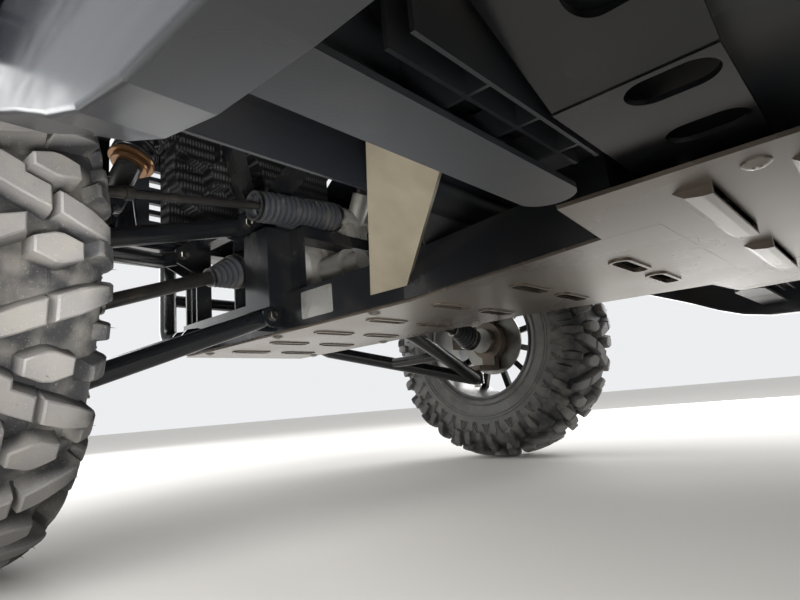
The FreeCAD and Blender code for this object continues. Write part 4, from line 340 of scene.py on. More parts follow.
def carcass_shell():
    """The carcass: its profile from bead to bead, with mould lines and rings, turned round the axle."""
    end = meridian(0)[2]
    foot = 1.6
    # Each raised ring: run from the middle, height, half width; its foot is 1.6 times as wide
    rings = (
        (0.0405, 0.0009, 0.0008), (0.176, 0.0016, 0.0016), (0.184, 0.0016, 0.0016), (0.222, 0.0045, 0.0055),
    )
    marks = [run + half * k for run, height, half in rings for k in (-foot, -1, 1, foot)]
    run = np.unique(np.concatenate([np.linspace(0, end, 44), marks]))
    height = np.zeros_like(run)
    for ring_run, ring_height, half in rings:
        height += ring_height * np.clip((foot * half - np.abs(run - ring_run)) / ((foot - 1) * half), 0, 1)
    run = np.concatenate([-run[:0:-1], run])
    height = np.concatenate([height[:0:-1], height])
    angle = np.linspace(0, 2 * math.pi, 120, endpoint=False)
    points = on_carcass(run[:, None], height[:, None], angle[None, :])
    return points.reshape(-1, 3), grid_quads(len(run), len(angle), loop_rows=True, loop_columns=True)


def alike(points):
    """Equal shells as one: an array of copies, rows, looped columns and coordinates."""
    copies, rows, columns = points.shape[:3]
    first = np.arange(copies)[:, None, None] * rows * columns
    return points.reshape(-1, 3), (grid_quads(rows, columns, loop_columns=True) + first).reshape(-1, 4)


def lug_shell(angles, side, runs, shifts, half_widths, heights, rows=6):
    """A row of equal lugs round the tyre.

    Each lug is a section with broken corners carried across the carcass from the first run to the
    second, all in millimetres. Its middle line goes from the first shift round the tyre to the second,
    its half width through three values, and its height from one value to another. The first and last
    sections are sunk in the carcass, so the ends slope as the sides do.
    """
    edge, draft, sunk = min(2.0, 0.45 * min(half_widths)), 0.22 * max(heights), -3.0
    across_half = np.array([-1, -1, -1, 0, 1, 1, 1])
    across_more = np.array([-draft, 0, edge, 0, -edge, 0, draft])
    across_drop = np.array([0, -edge, 0, 0, 0, -edge, 0])
    across_low = np.array([1, 0, 0, 0, 0, 0, 1])
    length = runs[1] - runs[0]
    along = np.concatenate([[-draft, 0], np.linspace(edge, length - edge, rows), [length, length + draft]])
    t = along / length
    row_drop = np.array([0, -edge] + [0] * rows + [-edge, 0])
    row_low = np.array([1] + [0] * (rows + 2) + [1])
    half = np.interp(t, [0, 0.5, 1], half_widths)
    shift = np.interp(t, [0, 1], shifts)
    tall = np.interp(t, [0, 1], heights)
    height = tall[:, None] + np.minimum(row_drop[:, None], across_drop[None, :])
    height = np.where((row_low[:, None] + across_low[None, :]) > 0, sunk, height)
    around = shift[:, None] + half[:, None] * across_half[None, :] + across_more[None, :]
    angle = angles[:, None, None] + around[None] / 1000 / LUG_RADIUS
    return alike(on_carcass(side * (runs[0] + along)[None, :, None] / 1000, height[None] / 1000, angle))


def hair_shell(angles, side, run_mm, shift_mm, base_mm):
    """Vent hairs: four-sided spikes 1 mm wide and 6 mm long that stand on the lugs and lean outward."""
    half_width, length, lean = 0.5, 6, 1.5
    turn = np.arange(4) * math.pi / 2
    foot_run = side * (run_mm + half_width * np.cos(turn)) / 1000
    foot_shift = shift_mm + half_width * np.sin(turn)
    foot = on_carcass(foot_run[None], base_mm / 1000, angles[:, None] + foot_shift[None] / 1000 / LUG_RADIUS)
    tip_run = np.full((1, 4), side * (run_mm + lean) / 1000)
    tip = on_carcass(tip_run, (base_mm + length) / 1000, angles[:, None] + shift_mm / 1000 / LUG_RADIUS)
    return alike(np.stack([foot, tip], 1))


LUGS = (
    # phase in pitches, then in millimetres: runs, shifts round the tyre, half widths, heights
    (0.00, (-15, 36), (-27, -5), (10, 13, 13), (24, 24)),
    (0.00, (43, 92), (-2, 19), (13, 14, 10), (24, 22)),
    (0.50, (-15, 36), (27, 5), (10, 13, 13), (24, 24)),
    (0.50, (43, 92), (2, -19), (13, 14, 10), (24, 22)),
    (0.25, (21, 64), (6, 6), (8, 17, 9), (24, 23)),
    (0.75, (21, 64), (-6, -6), (8, 17, 9), (24, 23)),
    (0.13, (100, 136), (-2, -4), (9, 12, 9), (16, 7)),
    (0.87, (100, 136), (2, 4), (9, 12, 9), (16, 7)),
    (0.31, (82, 128), (4, 0), (9, 13, 10), (21, 8)),
    (0.69, (82, 128), (-4, 0), (9, 13, 10), (21, 8)),
)
HAIRS = (
    # phase in pitches, then in millimetres: run, shift round the tyre, height of the foot
    (0.0, 8, -24, 23.5), (0.0, 84, 17, 22), (0.5, 20, 13, 23.5), (0.5, 78, -14, 22),
    (0.25, 56, 9, 23.5), (0.75, 40, -14, 23.5), (0.31, 116, -9, 11), (0.87, 108, 8, 14),
)
ZIGZAGS = (
    # phase in pitches, then in millimetres: runs, and the shift at each end of a stroke; each is
    # repeated half a pitch further
    (0.00, (112, 164), (27, 3)),
    (0.00, (126, 164), (15, -7)),
    (0.25, (134, 160), (2, 15)),
    (0.25, (143, 160), (-3, 8)),
)
ZIGZAG_HALF_WIDTH, ZIGZAG_HEIGHT = 1.3, 3.2


def pitches(phase):
    """The angles round the tyre of one phase in each pitch of the tread."""
    return (np.arange(TREAD_PITCHES) + phase) * 2 * math.pi / TREAD_PITCHES


tyre_shells = [carcass_shell()]
for side, start in ((1, 0), (-1, 0.25)):
    for phase, *lug in LUGS:
        tyre_shells.append(lug_shell(pitches(phase + start), side, *lug))
    for phase, *hair in HAIRS:
        tyre_shells.append(hair_shell(pitches(phase + start), side, *hair))
    # Raised zigzags down the shoulder, each stroke a thin leaning lug
    for phase, runs, (first, last) in ZIGZAGS:
        for half, lean in ((0, 1), (0, -1), (0.5, 1), (0.5, -1)):
            stroke = (first * lean, last * lean), (ZIGZAG_HALF_WIDTH,) * 3, (ZIGZAG_HEIGHT,) * 2
            tyre_shells.append(lug_shell(pitches(phase + half + start), side, runs, *stroke, rows=2))

# Where the wheels stand
HALF_TRACK, AXLE_HEIGHT = 0.695, 0.352
FRONT_AXLE, REAR_AXLE = -1.0, 1.06
WHEELS = (
    # corner, side, place along the vehicle
    ("front_left", 1, FRONT_AXLE),
    ("front_right", -1, FRONT_AXLE),
    ("rear_left", 1, REAR_AXLE),
    ("rear_right", -1, REAR_AXLE),
)


def axle_distance(tree):
    """The place of a point on the vehicle, and its distance from the nearer axle's line."""
    spot = add_node(tree, "TexCoord", {})
    parts = add_node(tree, "SeparateXYZ", {"Vector": spot.outputs["Object"]})
    along_by = maths(tree, "SUBTRACT", parts.outputs["Y"], (FRONT_AXLE + REAR_AXLE) / 2)
    along_by = maths(tree, "SUBTRACT", maths(tree, "ABSOLUTE", along_by), (REAR_AXLE - FRONT_AXLE) / 2)
    up_by = maths(tree, "SUBTRACT", parts.outputs["Z"], AXLE_HEIGHT)
    off_axle = add_node(tree, "CombineXYZ", {"Y": along_by, "Z": up_by})
    return parts, add_node(tree, "VectorMath", {0: off_axle.outputs[0]}, operation="LENGTH").outputs["Value"]


# The walls are paler than the grooves, whose darkness is painted shade, and the lugs' tops are the palest,
# partly from dust and wear and partly painted light
tyre_rubber, tree = new_material("dusty_tyre_rubber_painted_shade")
parts, radius = axle_distance(tree)
# Painted shade: the carcass between the lugs is drawn darker than the walls
ground = mixed(tree, ranged(tree, radius, (0.30, 0.26)), linear("#282829"), linear("#50504E"))
# The lugs' upper parts are drawn paler: partly dust and wear, partly painted light
ground = mixed(tree, ranged(tree, radius, (0.331, 0.345)), ground, linear("#666462"))
rubber_colour, dust = dusty(tree, ground, "#77736C", 38, 0.45, 0.9)
speckle = noise(tree, 2.2)
speckled = mixed(tree, ranged(tree, speckle, (0.62, 0.75), (0, 0.35)), rubber_colour, linear("#9A9388"))
surface(tree, speckled, ranged(tree, dust, new=(0.55, 0.92)), Normal=bumped(tree, speckle, 0.0003))


def at_wheel(shells, side, axle):
    """Shells made about a wheel's own axle, outboard along +X, put in their place on the vehicle."""
    turn, centre = np.array([side, side, 1.0]), np.array([side * HALF_TRACK, axle, AXLE_HEIGHT])
    return [(points * turn + centre, quads) for points, quads in shells]


for corner, side, axle in WHEELS:
    shells = at_wheel(tyre_shells, side, axle)
    tyre = piece("tread_" + corner, shells, tyre_rubber, "wheel_" + corner, 28)
    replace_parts(tyre, "tyre_" + corner)


# Rims: cast aluminium, painted satin black, with the inner barrel left bare and dulled by dust.
# Each has four coned nuts round its hub, a pressed cap and a rubber valve.
def turned_shell(profile, start, way, sides=40, ring=False):
    """Turn (distance d, radius r) points round a line: start + d way + r (u cos a + v sin a).

    The directions u and v are square to way; a ring's profile is closed on itself.
    """
    profile = np.array(profile, float)
    way = np.array(way, float) / np.linalg.norm(way)
    u = np.cross(way, (0, 0, 1) if abs(way[2]) < 0.9 else (1, 0, 0))
    u = u / np.linalg.norm(u)
    v = np.cross(way, u)
    a = (np.arange(sides) + 0.5) * 2 * math.pi / sides
    out = np.cos(a)[:, None] * u + np.sin(a)[:, None] * v
    points = np.array(start, float) + profile[:, :1, None] * way + profile[:, 1:, None] * out[None]
    return points.reshape(-1, 3), grid_quads(len(profile), sides, loop_rows=ring, loop_columns=True)


def on_side(shells, side):
    """Shells of the vehicle's left side, put on its left (1) or across to its right (-1)."""
    return [(points * np.array([side, 1.0, 1.0]), quads) for points, quads in shells]


def pair(name, shells, material, sharp_degrees=30, body="root"):
    """One piece of the left side's shells and the same ones on the right side."""
    return piece(name, shells + on_side(shells, -1), material, body, sharp_degrees)


def nut_shells(place, way, across, tall):
    """A washer and a hexagon nut or bolt head with a turned crown, along way from its seat."""
    half = across / 2
    corner, washer_radius = half * 1.155, half * 1.28
    washer = [(0, 0), (0, washer_radius), (across * 0.12, washer_radius), (across * 0.12, 0)]
    head = [(across * 0.1, 0), (across * 0.1, corner), (tall * 0.86, corner), (tall, corner * 0.86)]
    head += [(tall, half * 0.5), (tall * 0.9, half * 0.42), (tall * 0.9, 0)]
    return [turned_shell(washer, place, way, 20), turned_shell(head, place, way, 6)]


RIM_FACE, NUT_CIRCLE, VALVE_CIRCLE = 0.0142, 0.055, 0.170
cap_profile = [(-0.004, 0), (-0.004, 0.0325), (0.006, 0.0325), (0.011, 0.029), (0.0125, 0.020), (0.0125, 0)]
cap_shells = [turned_shell(cap_profile, (RIM_FACE + 0.009, 0, 0), (1, 0, 0), 40)]
lug_nut_shells = []
for angle in np.radians(45 + 90 * np.arange(4)):
    seat = np.array([RIM_FACE, NUT_CIRCLE * math.sin(angle), NUT_CIRCLE * math.cos(angle)])
    lug_nut_shells += nut_shells(seat, (1, 0, 0), 0.019, 0.017)
valve_profile = [(-0.004, 0.0), (-0.004, 0.0075), (0.004, 0.0075), (0.008, 0.005), (0.026, 0.0042)]
valve_profile += [(0.028, 0.0052), (0.038, 0.005), (0.039, 0.0)]
valve_out = np.array([0, math.sin(math.radians(18)), math.cos(math.radians(18))])
valve_foot = VALVE_CIRCLE * valve_out + np.array([0.078, 0, 0])
valve_shells = [turned_shell(valve_profile, valve_foot, np.array([0.55, 0, 0]) - valve_out, 16)]

# The bare barrel: inboard of the spokes, between two radii
BARREL_OUTBOARD, BARREL_LOW, BARREL_HIGH = HALF_TRACK + 0.03, 0.1665, 0.1745
rim_paint, tree = new_material("satin_black_cast_rim")
parts, radius = axle_distance(tree)
inside = maths(tree, "LESS_THAN", maths(tree, "ABSOLUTE", parts.outputs["X"]), BARREL_OUTBOARD)
bare = maths(tree, "MULTIPLY", inside, maths(tree, "GREATER_THAN", radius, BARREL_LOW))
bare = maths(tree, "MULTIPLY", bare, maths(tree, "LESS_THAN", radius, BARREL_HIGH))
rim_colour = mixed(tree, bare, linear("#17171A"), linear("#5F5E5B"))
dust_colour, dust = dusty(tree, rim_colour, "#6B655B", 50, 0.5, 0.95)
surface(tree, dust_colour, ranged(tree, dust, new=(0.3, 0.55)), Metallic=maths(tree, "MULTIPLY", bare, 0.6))

boot_rubber = coated("moulded_boot_rubber", "#232427", "#45413B", 25, 0.5, 0.9, 1.0, 0.06, 0.42, 0.65)
for corner, side, axle in WHEELS:
    wear(rim_paint, "rim_" + corner)
    body = "wheel_" + corner
    piece("lug_nuts_" + corner, at_wheel(lug_nut_shells, side, axle), zinc_steel, body)
    piece("hub_cap_" + corner, at_wheel(cap_shells, side, axle), grained_plastic, body)
    piece("valve_" + corner, at_wheel(valve_shells, side, axle), boot_rubber, body, 40)

# Rack bellows: moulded rubber with fine folds, held by a steel clamp at the housing and one on the
# rod. On the vehicle the rubber folds up on one side and opens on the other as the rack moves; these
# boots keep one shape.
BELLOWS_START = np.array([0.045, -0.905, 0.588])
BELLOWS_END = np.array([0.252, -0.905, 0.5711])
bellows_length = np.linalg.norm(BELLOWS_END - BELLOWS_START)
bellows_way = (BELLOWS_END - BELLOWS_START) / bellows_length


def bellows_profile(length, folds, collar, start_radius, end_radius, depth, sharpness=0.75):
    """Radius along a row of folds: R(t) - depth (1 - |sin(pi n t)|^s), from a collar to a collar."""
    t = np.linspace(0, 1, folds * 8 + 1)
    valley = 1 - np.abs(np.sin(math.pi * folds * t)) ** sharpness
    radius = start_radius + (end_radius - start_radius) * t - depth * valley
    row = np.stack([collar + (length - 2 * collar) * t, radius], 1)[1:-1]
    start_collar, end_collar = start_radius - depth * 0.6, end_radius - depth * 0.6
    start = [[0, start_collar], [collar, start_collar]]
    return np.concatenate([start, row, [[length - collar, end_collar], [length, end_collar]]])


def hollow(profile, wall):
    """A ring profile: the outer line and, back again, the same line a wall's thickness inside."""
    return np.concatenate([profile, profile[::-1] - np.array([0, wall])])


def band_shell(radius, place, way, sides=48):
    """A clamp or band: a flat steel ring, 6 mm wide and 1.6 mm thick, round a boot of this radius."""
    flat = [(0, radius + 0.0006), (0, radius + 0.0022), (0.006, radius + 0.0022), (0.006, radius + 0.0006)]
    return turned_shell(flat, place, way, sides, ring=True)


outer = bellows_profile(bellows_length, 15, 0.008, 0.033, 0.031, 0.0062)
bellows = [turned_shell(hollow(outer, 0.0028), BELLOWS_START, bellows_way, 56, ring=True)]
for side_name, side in (("left", 1), ("right", -1)):
    boot = piece("rack_boot_" + side_name, on_side(bellows, side), boot_rubber, None, 50)
    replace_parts(boot, "rack_bellows")
    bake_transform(boot)
housing_clamp = band_shell(0.0292, BELLOWS_START + bellows_way * 0.001, bellows_way)
rod_clamp = band_shell(0.0272, BELLOWS_END - bellows_way * 0.007, bellows_way)
pair("housing_clamps", [housing_clamp], zinc_steel)
pair("rod_clamps", [rod_clamp], zinc_steel, body="rack_bar")

# Half shafts: induction-hardened steel with a forged cup inboard and a ball joint outboard, each
# joint under a folded rubber boot with two steel bands.
SHAFTS = (
    # inner joint, outer joint
    (np.array([0.2095, -1.045, 0.478]), np.array([0.568, -1.0, 0.352])),
    (np.array([0.168, 1.06, 0.468]), np.array([0.568, 1.06, 0.352])),
)
CUP, STEM, BALL = 0.0365, 0.013, 0.033
shaft_shells, boot_shells, band_shells = [], [], []
for cup, joint in SHAFTS:
    length = np.linalg.norm(joint - cup)
    way = (joint - cup) / length
    steel = [(-0.046, 0), (-0.046, 0.034), (-0.040, CUP), (-0.006, CUP), (-0.006, 0.0345), (0.004, 0.0345)]
    steel += [(0.004, STEM), (length - 0.03, STEM), (length - 0.03, 0.028), (length - 0.012, BALL)]
    steel += [(length, 0.0325), (length, 0)]
    shaft_shells.append(turned_shell(steel, cup, way, 48))
    for start, boot_way, boot_length in ((cup - way * 0.004, way, 0.072), (joint - way * 0.016, -way, 0.070)):
        folds = bellows_profile(boot_length, 5, 0.007, CUP, 0.020, 0.0065, 0.9)
        boot_shells.append(turned_shell(hollow(folds, 0.0026), start, boot_way, 48, ring=True))
    for place, radius in ((0, 0.0335), (0.0615, 0.0168), (length - 0.087, 0.0168), (length - 0.0225, 0.0335)):
        band_shells.append(band_shell(radius, cup + way * place, way, 40))
shafts = pair("half_shaft_bars", shaft_shells, dark_steel)
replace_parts(shafts, "half_shafts")
shaft_boots = pair("joint_boots", boot_shells, boot_rubber, 50)
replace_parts(shaft_boots, "half_shafts")
pair("joint_boot_bands", band_shells, zinc_steel)


# Coil-overs: a black drawn damper body with a threaded collar below, a polished rod, and a spring of
# round wire wound hot and coated black between two anodised seats.
def swept_shell(path, radii, sides, reference, ring=False):
    """A round section carried along a path p: p + r (u cos a + v sin a).

    The direction v is square to p' and to the reference, and u to both; a ring's path is closed.
    """
    path = np.array(path, float)
    radii = np.broadcast_to(np.array(radii, float), len(path))
    if ring:
        ahead_way = np.roll(path, -1, 0) - np.roll(path, 1, 0)
    else:
        ahead_way = np.gradient(path, axis=0)
    ahead_way = ahead_way / np.linalg.norm(ahead_way, axis=1)[:, None]
    v = np.cross(ahead_way, np.broadcast_to(np.array(reference, float), path.shape))
    v = v / np.linalg.norm(v, axis=1)[:, None]
    u = np.cross(v, ahead_way)
    if not ring:
        path, u, v = (np.concatenate([k[:1], k, k[-1:]]) for k in (path, u, v))
        radii = np.concatenate([[0], radii, [0]])
    a = np.arange(sides) * 2 * math.pi / sides
    out = u[:, None] * np.cos(a)[:, None] + v[:, None] * np.sin(a)[:, None]
    points = path[:, None] + radii[:, None, None] * out
    return points.reshape(-1, 3), grid_quads(len(path), sides, loop_rows=ring, loop_columns=True)


COIL_OVERS = (
    # foot eye, top eye
    (np.array([0.473, -1.048, 0.536]), np.array([0.329, -1.048, 0.898])),
    (np.array([0.450, 0.936, 0.336]), np.array([0.330, 0.936, 0.716])),
)
SPRING_RADIUS, WIRE, TURNS = 0.0365, 0.0052, 7.5
COLLAR_BORE, BODY, ROD = 0.0226, 0.0225, 0.0065
damper_shells, spring_shells, rod_shells, collar_shells, eye_shells = [], [], [], [], []
for foot, top in COIL_OVERS:
    length = np.linalg.norm(top - foot)
    way = (top - foot) / length
    low, high = length * 0.46 - 0.034, length - 0.054
    damper = [(0.012, 0), (0.012, 0.012), (0.030, 0.012), (0.036, BODY), (0.040, 0.024), (low - 0.02, 0.024)]
    damper += [(low - 0.018, BODY), (low + 0.03, BODY), (low + 0.034, 0.0215), (low + 0.085, 0.0215)]
    damper += [(low + 0.09, 0.018), (low + 0.09, 0)]
    damper_shells.append(turned_shell(damper, foot, way, 48))
    rod = [(low + 0.08, 0), (low + 0.08, ROD), (high + 0.01, ROD), (high + 0.01, 0)]
    rod_shells.append(turned_shell(rod, foot, way, 24))
    for at, tall, wide in ((low - 0.017, 0.008, 0.034), (low - 0.007, 0.007, 0.0425)):
        collar = [(at, COLLAR_BORE), (at, wide - 0.001), (at + 0.001, wide), (at + tall - 0.001, wide)]
        collar += [(at + tall, wide - 0.001), (at + tall, COLLAR_BORE)]
        collar_shells.append(turned_shell(collar, foot, way, 48, ring=True))
    seat = [(0, 0), (0, 0.0072), (0, 0.041), (0.0015, 0.0425), (0.006, 0.0425), (0.008, 0.030)]
    seat = [(high + d, r) for d, r in seat + [(0.014, 0.0215), (0.016, 0.0125)]]
    seat += [(length - 0.014, 0.0122), (length - 0.014, 0)]
    damper_shells.append(turned_shell(seat, foot, way, 48))
    t = np.linspace(0, 1, int(TURNS * 28))
    squeeze = np.interp(t, [0, 0.09, 0.91, 1], [0, 0.035, 0.965, 1])
    side_way = np.cross(way, (0, 1, 0))
    round_way = 2 * math.pi * TURNS * t[:, None]
    coil = foot + way * (low + WIRE + (high - low - 2 * WIRE) * squeeze)[:, None]
    coil = coil + SPRING_RADIUS * (np.cos(round_way) * side_way + np.sin(round_way) * np.array([0, 1.0, 0]))
    spring_shells.append(swept_shell(coil, WIRE, 10, way))
    half_eye = [(0.0125, 0.0075), (0.0125, 0.0175), (0.011, 0.019)]
    eye_ring = [(-d, r) for d, r in half_eye] + half_eye[::-1]
    eye_shells += [turned_shell(eye_ring, eye, (0, 1, 0), 32, ring=True) for eye in (foot, top)]
gloss_black = coated("gloss_black_coated_spring", "#101011", "#2C2925", 60, 0.5, 0.9, 4, 0.02, 0.14, 0.4)
chrome = coated("hard_chromed_rod", "#C9CBCC", "#8F8A80", 60, 0.6, 0.95, 4, 0.0, 0.08, 0.25, Metallic=1.0)
bronze_anodised = coated(
    "bronze_anodised_collar", "#8A6748", "#6E5F4E", 40, 0.5, 0.9, 1, 0.01, 0.28, 0.45, Metallic=0.9
)
dampers = pair("damper_bodies", damper_shells + eye_shells, powder_coat)
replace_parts(dampers, "coil_overs")
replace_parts(pair("coil_springs", spring_shells, gloss_black, 60), "coil_overs")
pair("damper_rods", rod_shells, chrome)
pair("spring_collars", collar_shells, bronze_anodised)

# Suspension bolts and nuts: zinc plated, one through each pivot and each coil-over's eye; ball
# joints with a rubber dust boot and a castle nut.
PIVOTS = (
    (0.199, -0.960, 0.366), (0.199, -1.290, 0.366), (0.211, -1.016, 0.568), (0.211, -1.290, 0.568),
    (0.254, 0.730, 0.380), (0.254, 1.190, 0.380), (0.260, 0.985, 0.568), (0.260, 1.190, 0.568),
)
EYES = [eye for coil_over in COIL_OVERS for eye in coil_over]
bolt_shells = []
# A pivot's or an eye's bolt reaches this far along y from its middle to its plates' outer faces
for places, reach_y in ((PIVOTS, 0.0273), (EYES, 0.017)):
    for place in places:
        for way, tall in ((1, 0.010), (-1, 0.012)):
            seat = np.array(place) + np.array([0, way * reach_y, 0])
            bolt_shells += nut_shells(seat, (0, way, 0), 0.019, tall)
pair("pivot_bolts", bolt_shells, zinc_steel)
BALL_UPPER, BALL_LOWER, KINGPIN_X = 0.4695, 0.2345, 0.568
boot_line = hollow(bellows_profile(0.012, 2, 0.002, 0.0195, 0.0135, 0.003, 0.9), 0.002)
for axle, carrier in ((FRONT_AXLE, "front"), (REAR_AXLE, "rear")):
    dust_boots, castle_nuts = [], []
    for ball, up_way in ((BALL_UPPER, -1), (BALL_LOWER, 1)):
        boot_foot = (KINGPIN_X, axle, ball + up_way * 0.0142)
        dust_boots.append(turned_shell(boot_line, boot_foot, (0, 0, up_way), 32, ring=True))
        castle_nuts += nut_shells((KINGPIN_X, axle, ball - up_way * 0.0145), (0, 0, -up_way), 0.017, 0.009)
    pair("ball_boots_" + carrier, dust_boots, boot_rubber, 50)
    pair("castle_nuts_" + carrier, castle_nuts, zinc_steel)


# Blank identity plate: thin anodised sheet riveted to the left rail by its four corners.
def plate_shell(middle, across, along_way, half_wide, half_tall, corner, thick, edge=0.0006):
    """A sheet with round corners: its outline in rings from the middle of its back to that of its face."""
    across, along_way = np.array(across, float), np.array(along_way, float)
    normal = np.cross(across, along_way)
    a = np.arange(48) * 2 * math.pi / 48
    cx = np.sign(np.cos(a)) * (half_wide - corner) + corner * np.cos(a)
    cy = np.sign(np.sin(a)) * (half_tall - corner) + corner * np.sin(a)
    rows = []
    for scale, inset, height in ((0, 0, 0), (1, 0, 0), (1, 0, thick - edge), (1, edge, thick), (0, 0, thick)):
        x = cx * scale * (1 - inset / half_wide)
        y = cy * scale * (1 - inset / half_tall)
        rows.append(np.array(middle, float) + x[:, None] * across + y[:, None] * along_way + height * normal)
    points = np.stack(rows)
    return points.reshape(-1, 3), grid_quads(len(rows), 48, loop_columns=True)


def rivet_shell(place, way, radius, tall):
    """A domed head: a quarter circle turned round its axis."""
    t = np.linspace(0, math.pi / 2, 6)
    dome = [(0, 0)] + [(tall * math.sin(k), radius * math.cos(k)) for k in t]
    return turned_shell(dome, place, way, 20)


RAIL_OUTER, PLATE_THICK = 0.1792, 0.0012
plate_middle = np.array([RAIL_OUTER, -0.822, 0.374])
anodised_sheet = coated(
    "bare_anodised_sheet", "#B9B7B1", "#8D877C", 30, 0.5, 0.9, 0.6, 0.01, 0.28, 0.5, Metallic=0.85
)
plate_shells = [plate_shell(plate_middle, (0, 1, 0), (0, 0, 1), 0.044, 0.026, 0.004, PLATE_THICK)]
for along_by in (-0.039, 0.039):
    for up_by in (-0.021, 0.021):
        place = plate_middle + np.array([PLATE_THICK, along_by, up_by])
        plate_shells.append(rivet_shell(place, (1, 0, 0), 0.0022, 0.0013))
piece("blank_plate", plate_shells, anodised_sheet, "root")

# Push rivets: moulded black nylon, they hold the panels and the liners in the outer lips of the
# arches, and the sills from below.
ARCH_LIP, ARCH_HEIGHT, SILL_PLACE, SILL_UNDER = 0.7802, 0.400, 0.7215, 0.3068
rivets = [((SILL_PLACE, y_at, SILL_UNDER), (0, 0, -1)) for y_at in np.linspace(0.0, 0.48, 4)]
for axle, arch_radius, degrees, low, high in (
    # axle, radius, angles round the arch, and the heights between which its lip stands free
    (FRONT_AXLE, 0.478, np.linspace(-52, 200, 9), 0.66, 0.94),
    (REAR_AXLE, 0.452, np.linspace(20, 160, 6), 0.62, 0.94),
):
    for angle in np.radians(degrees):
        place = (ARCH_LIP, axle + arch_radius * math.cos(angle), ARCH_HEIGHT + arch_radius * math.sin(angle))
        if low < place[2] < high:
            rivets.append((place, (1, 0, 0)))
rivet_shells = [rivet_shell(place, way, 0.009, 0.0028) for place, way in rivets]
pair("push_rivets", rivet_shells, grained_plastic, 50)

# Skid plate screws: wide button heads with a turned socket, in rows near the plates' edges.
SKID_UNDER = 0.3327
SCREW_ROWS = ((0.155, (-1.25, -0.98, -0.70)), (0.335, (-0.10, 0.20, 0.52)), (0.215, (0.74, 1.02, 1.28)))
screw_profile = [(0, 0), (0, 0.011), (0.0012, 0.011), (0.0036, 0.0075), (0.0042, 0.004)]
screw_profile += [(0.0022, 0.0035), (0.0022, 0)]
screws = [(x_at, y_at, SKID_UNDER) for x_at, row in SCREW_ROWS for y_at in row]
screw_shells = [turned_shell(screw_profile, screw, (0, 0, -1), 24) for screw in screws]
pair("skid_screws", screw_shells, zinc_steel)

# Bulkhead sheet: moulded plastic, bolted behind the cowl posts across the rails' gap. Three swages
# stand across it.
SHEET_AT, SHEET_THICK, SWAGES = -0.5657, 0.003, np.array([0.47, 0.53, 0.59])
x = np.linspace(-0.172, 0.172, 30)
z = np.linspace(0.412, 0.640, 60)
swage = 0.006 * np.exp(-(((z[:, None] - SWAGES) / 0.008) ** 2)).sum(1)
faces = []
for depth in (0.0, SHEET_THICK):
    grid = np.stack(np.broadcast_arrays(x[None, :], SHEET_AT + depth + swage[:, None], z[:, None]), -1)
    faces.append((grid.reshape(-1, 3), grid_quads(len(z), len(x))))
grids = [points.reshape(len(z), len(x), 3) for points, ignored in faces]
for edge in (np.s_[0, :], np.s_[-1, :], np.s_[:, 0], np.s_[:, -1]):
    rim = np.stack([grid[edge] for grid in grids])
    faces.append((rim.reshape(-1, 3), grid_quads(2, rim.shape[1])))
piece("bulkhead_sheet", faces, grained_plastic, "root")

# Head lamps: a clear moulded cover over a dark tray with two polished bowls and their diodes. Tail
# lamps: fluted red acrylic.
LAMP_BOX = ((0.3725, 0.5595), (-1.404, -1.386), (0.7705, 0.8615))
clear_cover, tree = new_material("clear_polycarbonate_cover")
surface(tree, linear("#F2F5F7"), 0.03, IOR=1.58, **{"Transmission Weight": 1.0})
mirror_coat = coated(
    "vacuum_metallised_reflector", "#D8D9DB", "#B9B7B2", 60, 0.6, 0.95, 4, 0.0, 0.06, 0.12, Metallic=1.0
)
led_chip, tree = new_material("warm_white_diode")
surface(tree, linear("#F4E9B8"), 0.35)


def waves(tree, pitch_mm, direction):
    """Sine waves a pitch apart over the object's own coordinates."""
    spot = add_node(tree, "TexCoord", {})
    links = {"Vector": spot.outputs["Object"], "Scale": 1000 / pitch_mm / 6.28}
    return add_node(tree, "TexWave", links, bands_direction=direction).outputs["Fac"]


def box_shells(low, high, wall, open_side):
    """A tray: its outside and its inside as rings of one sheet, closed at the back and open along y."""
    (x0, y0, z0), (x1, y1, z1) = low, high
    front, back = (y0, y1) if open_side < 0 else (y1, y0)
    inner_back = back + (wall if back < front else -wall)
    middle_x, middle_z = (x0 + x1) / 2, (z0 + z1) / 2
    rows = []
    for inset, y_at, scale in (
        (0, back, 0), (0, back, 1), (0, front, 1),
        (wall, front, 1), (wall, inner_back, 1), (wall, inner_back, 0),
    ):
        half_x, half_z = ((x1 - x0) / 2 - inset) * scale, ((z1 - z0) / 2 - inset) * scale
        corners = ((1, 1), (-1, 1), (-1, -1), (1, -1))
        rows.append([(middle_x + half_x * a, y_at, middle_z + half_z * b) for a, b in corners])
    return np.array(rows, float).reshape(-1, 3), grid_quads(len(rows), 4, loop_columns=True)


(x0, x1), (y0, y1), (z0, z1) = LAMP_BOX
tray = [box_shells((x0, y0 + 0.0035, z0), (x1, y0 + 0.040, z1), 0.002, -1)]
cover = [box_shells((x0, y0, z0), (x1, y0 + 0.0033, z1), 0.0026, 1)]
BOWL_RADIUS, BOWL_DEPTH, BOWL_WALL = 0.034, 0.030, 0.0012
bowls, chips = [], []
for x_at in (0.423, 0.507):
    r = np.linspace(0.006, BOWL_RADIUS, 12)
    bowl = np.stack([BOWL_DEPTH * (1 - (r / BOWL_RADIUS) ** 2), r], 1)
    bowl = np.concatenate([bowl, (bowl + [BOWL_WALL, 0.0])[::-1]])
    bowls.append(turned_shell(bowl, (x_at, y0 + 0.006, (z0 + z1) / 2), (0, 1, 0), 40, ring=True))
    chips.append(rivet_shell((x_at, y0 + 0.035, (z0 + z1) / 2), (0, -1, 0), 0.007, 0.006))
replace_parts(pair("lamp_trays", tray, grained_plastic), "head_lamps")
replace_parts(pair("lamp_covers", cover, clear_cover), "head_lamps")
pair("lamp_bowls", bowls, mirror_coat)
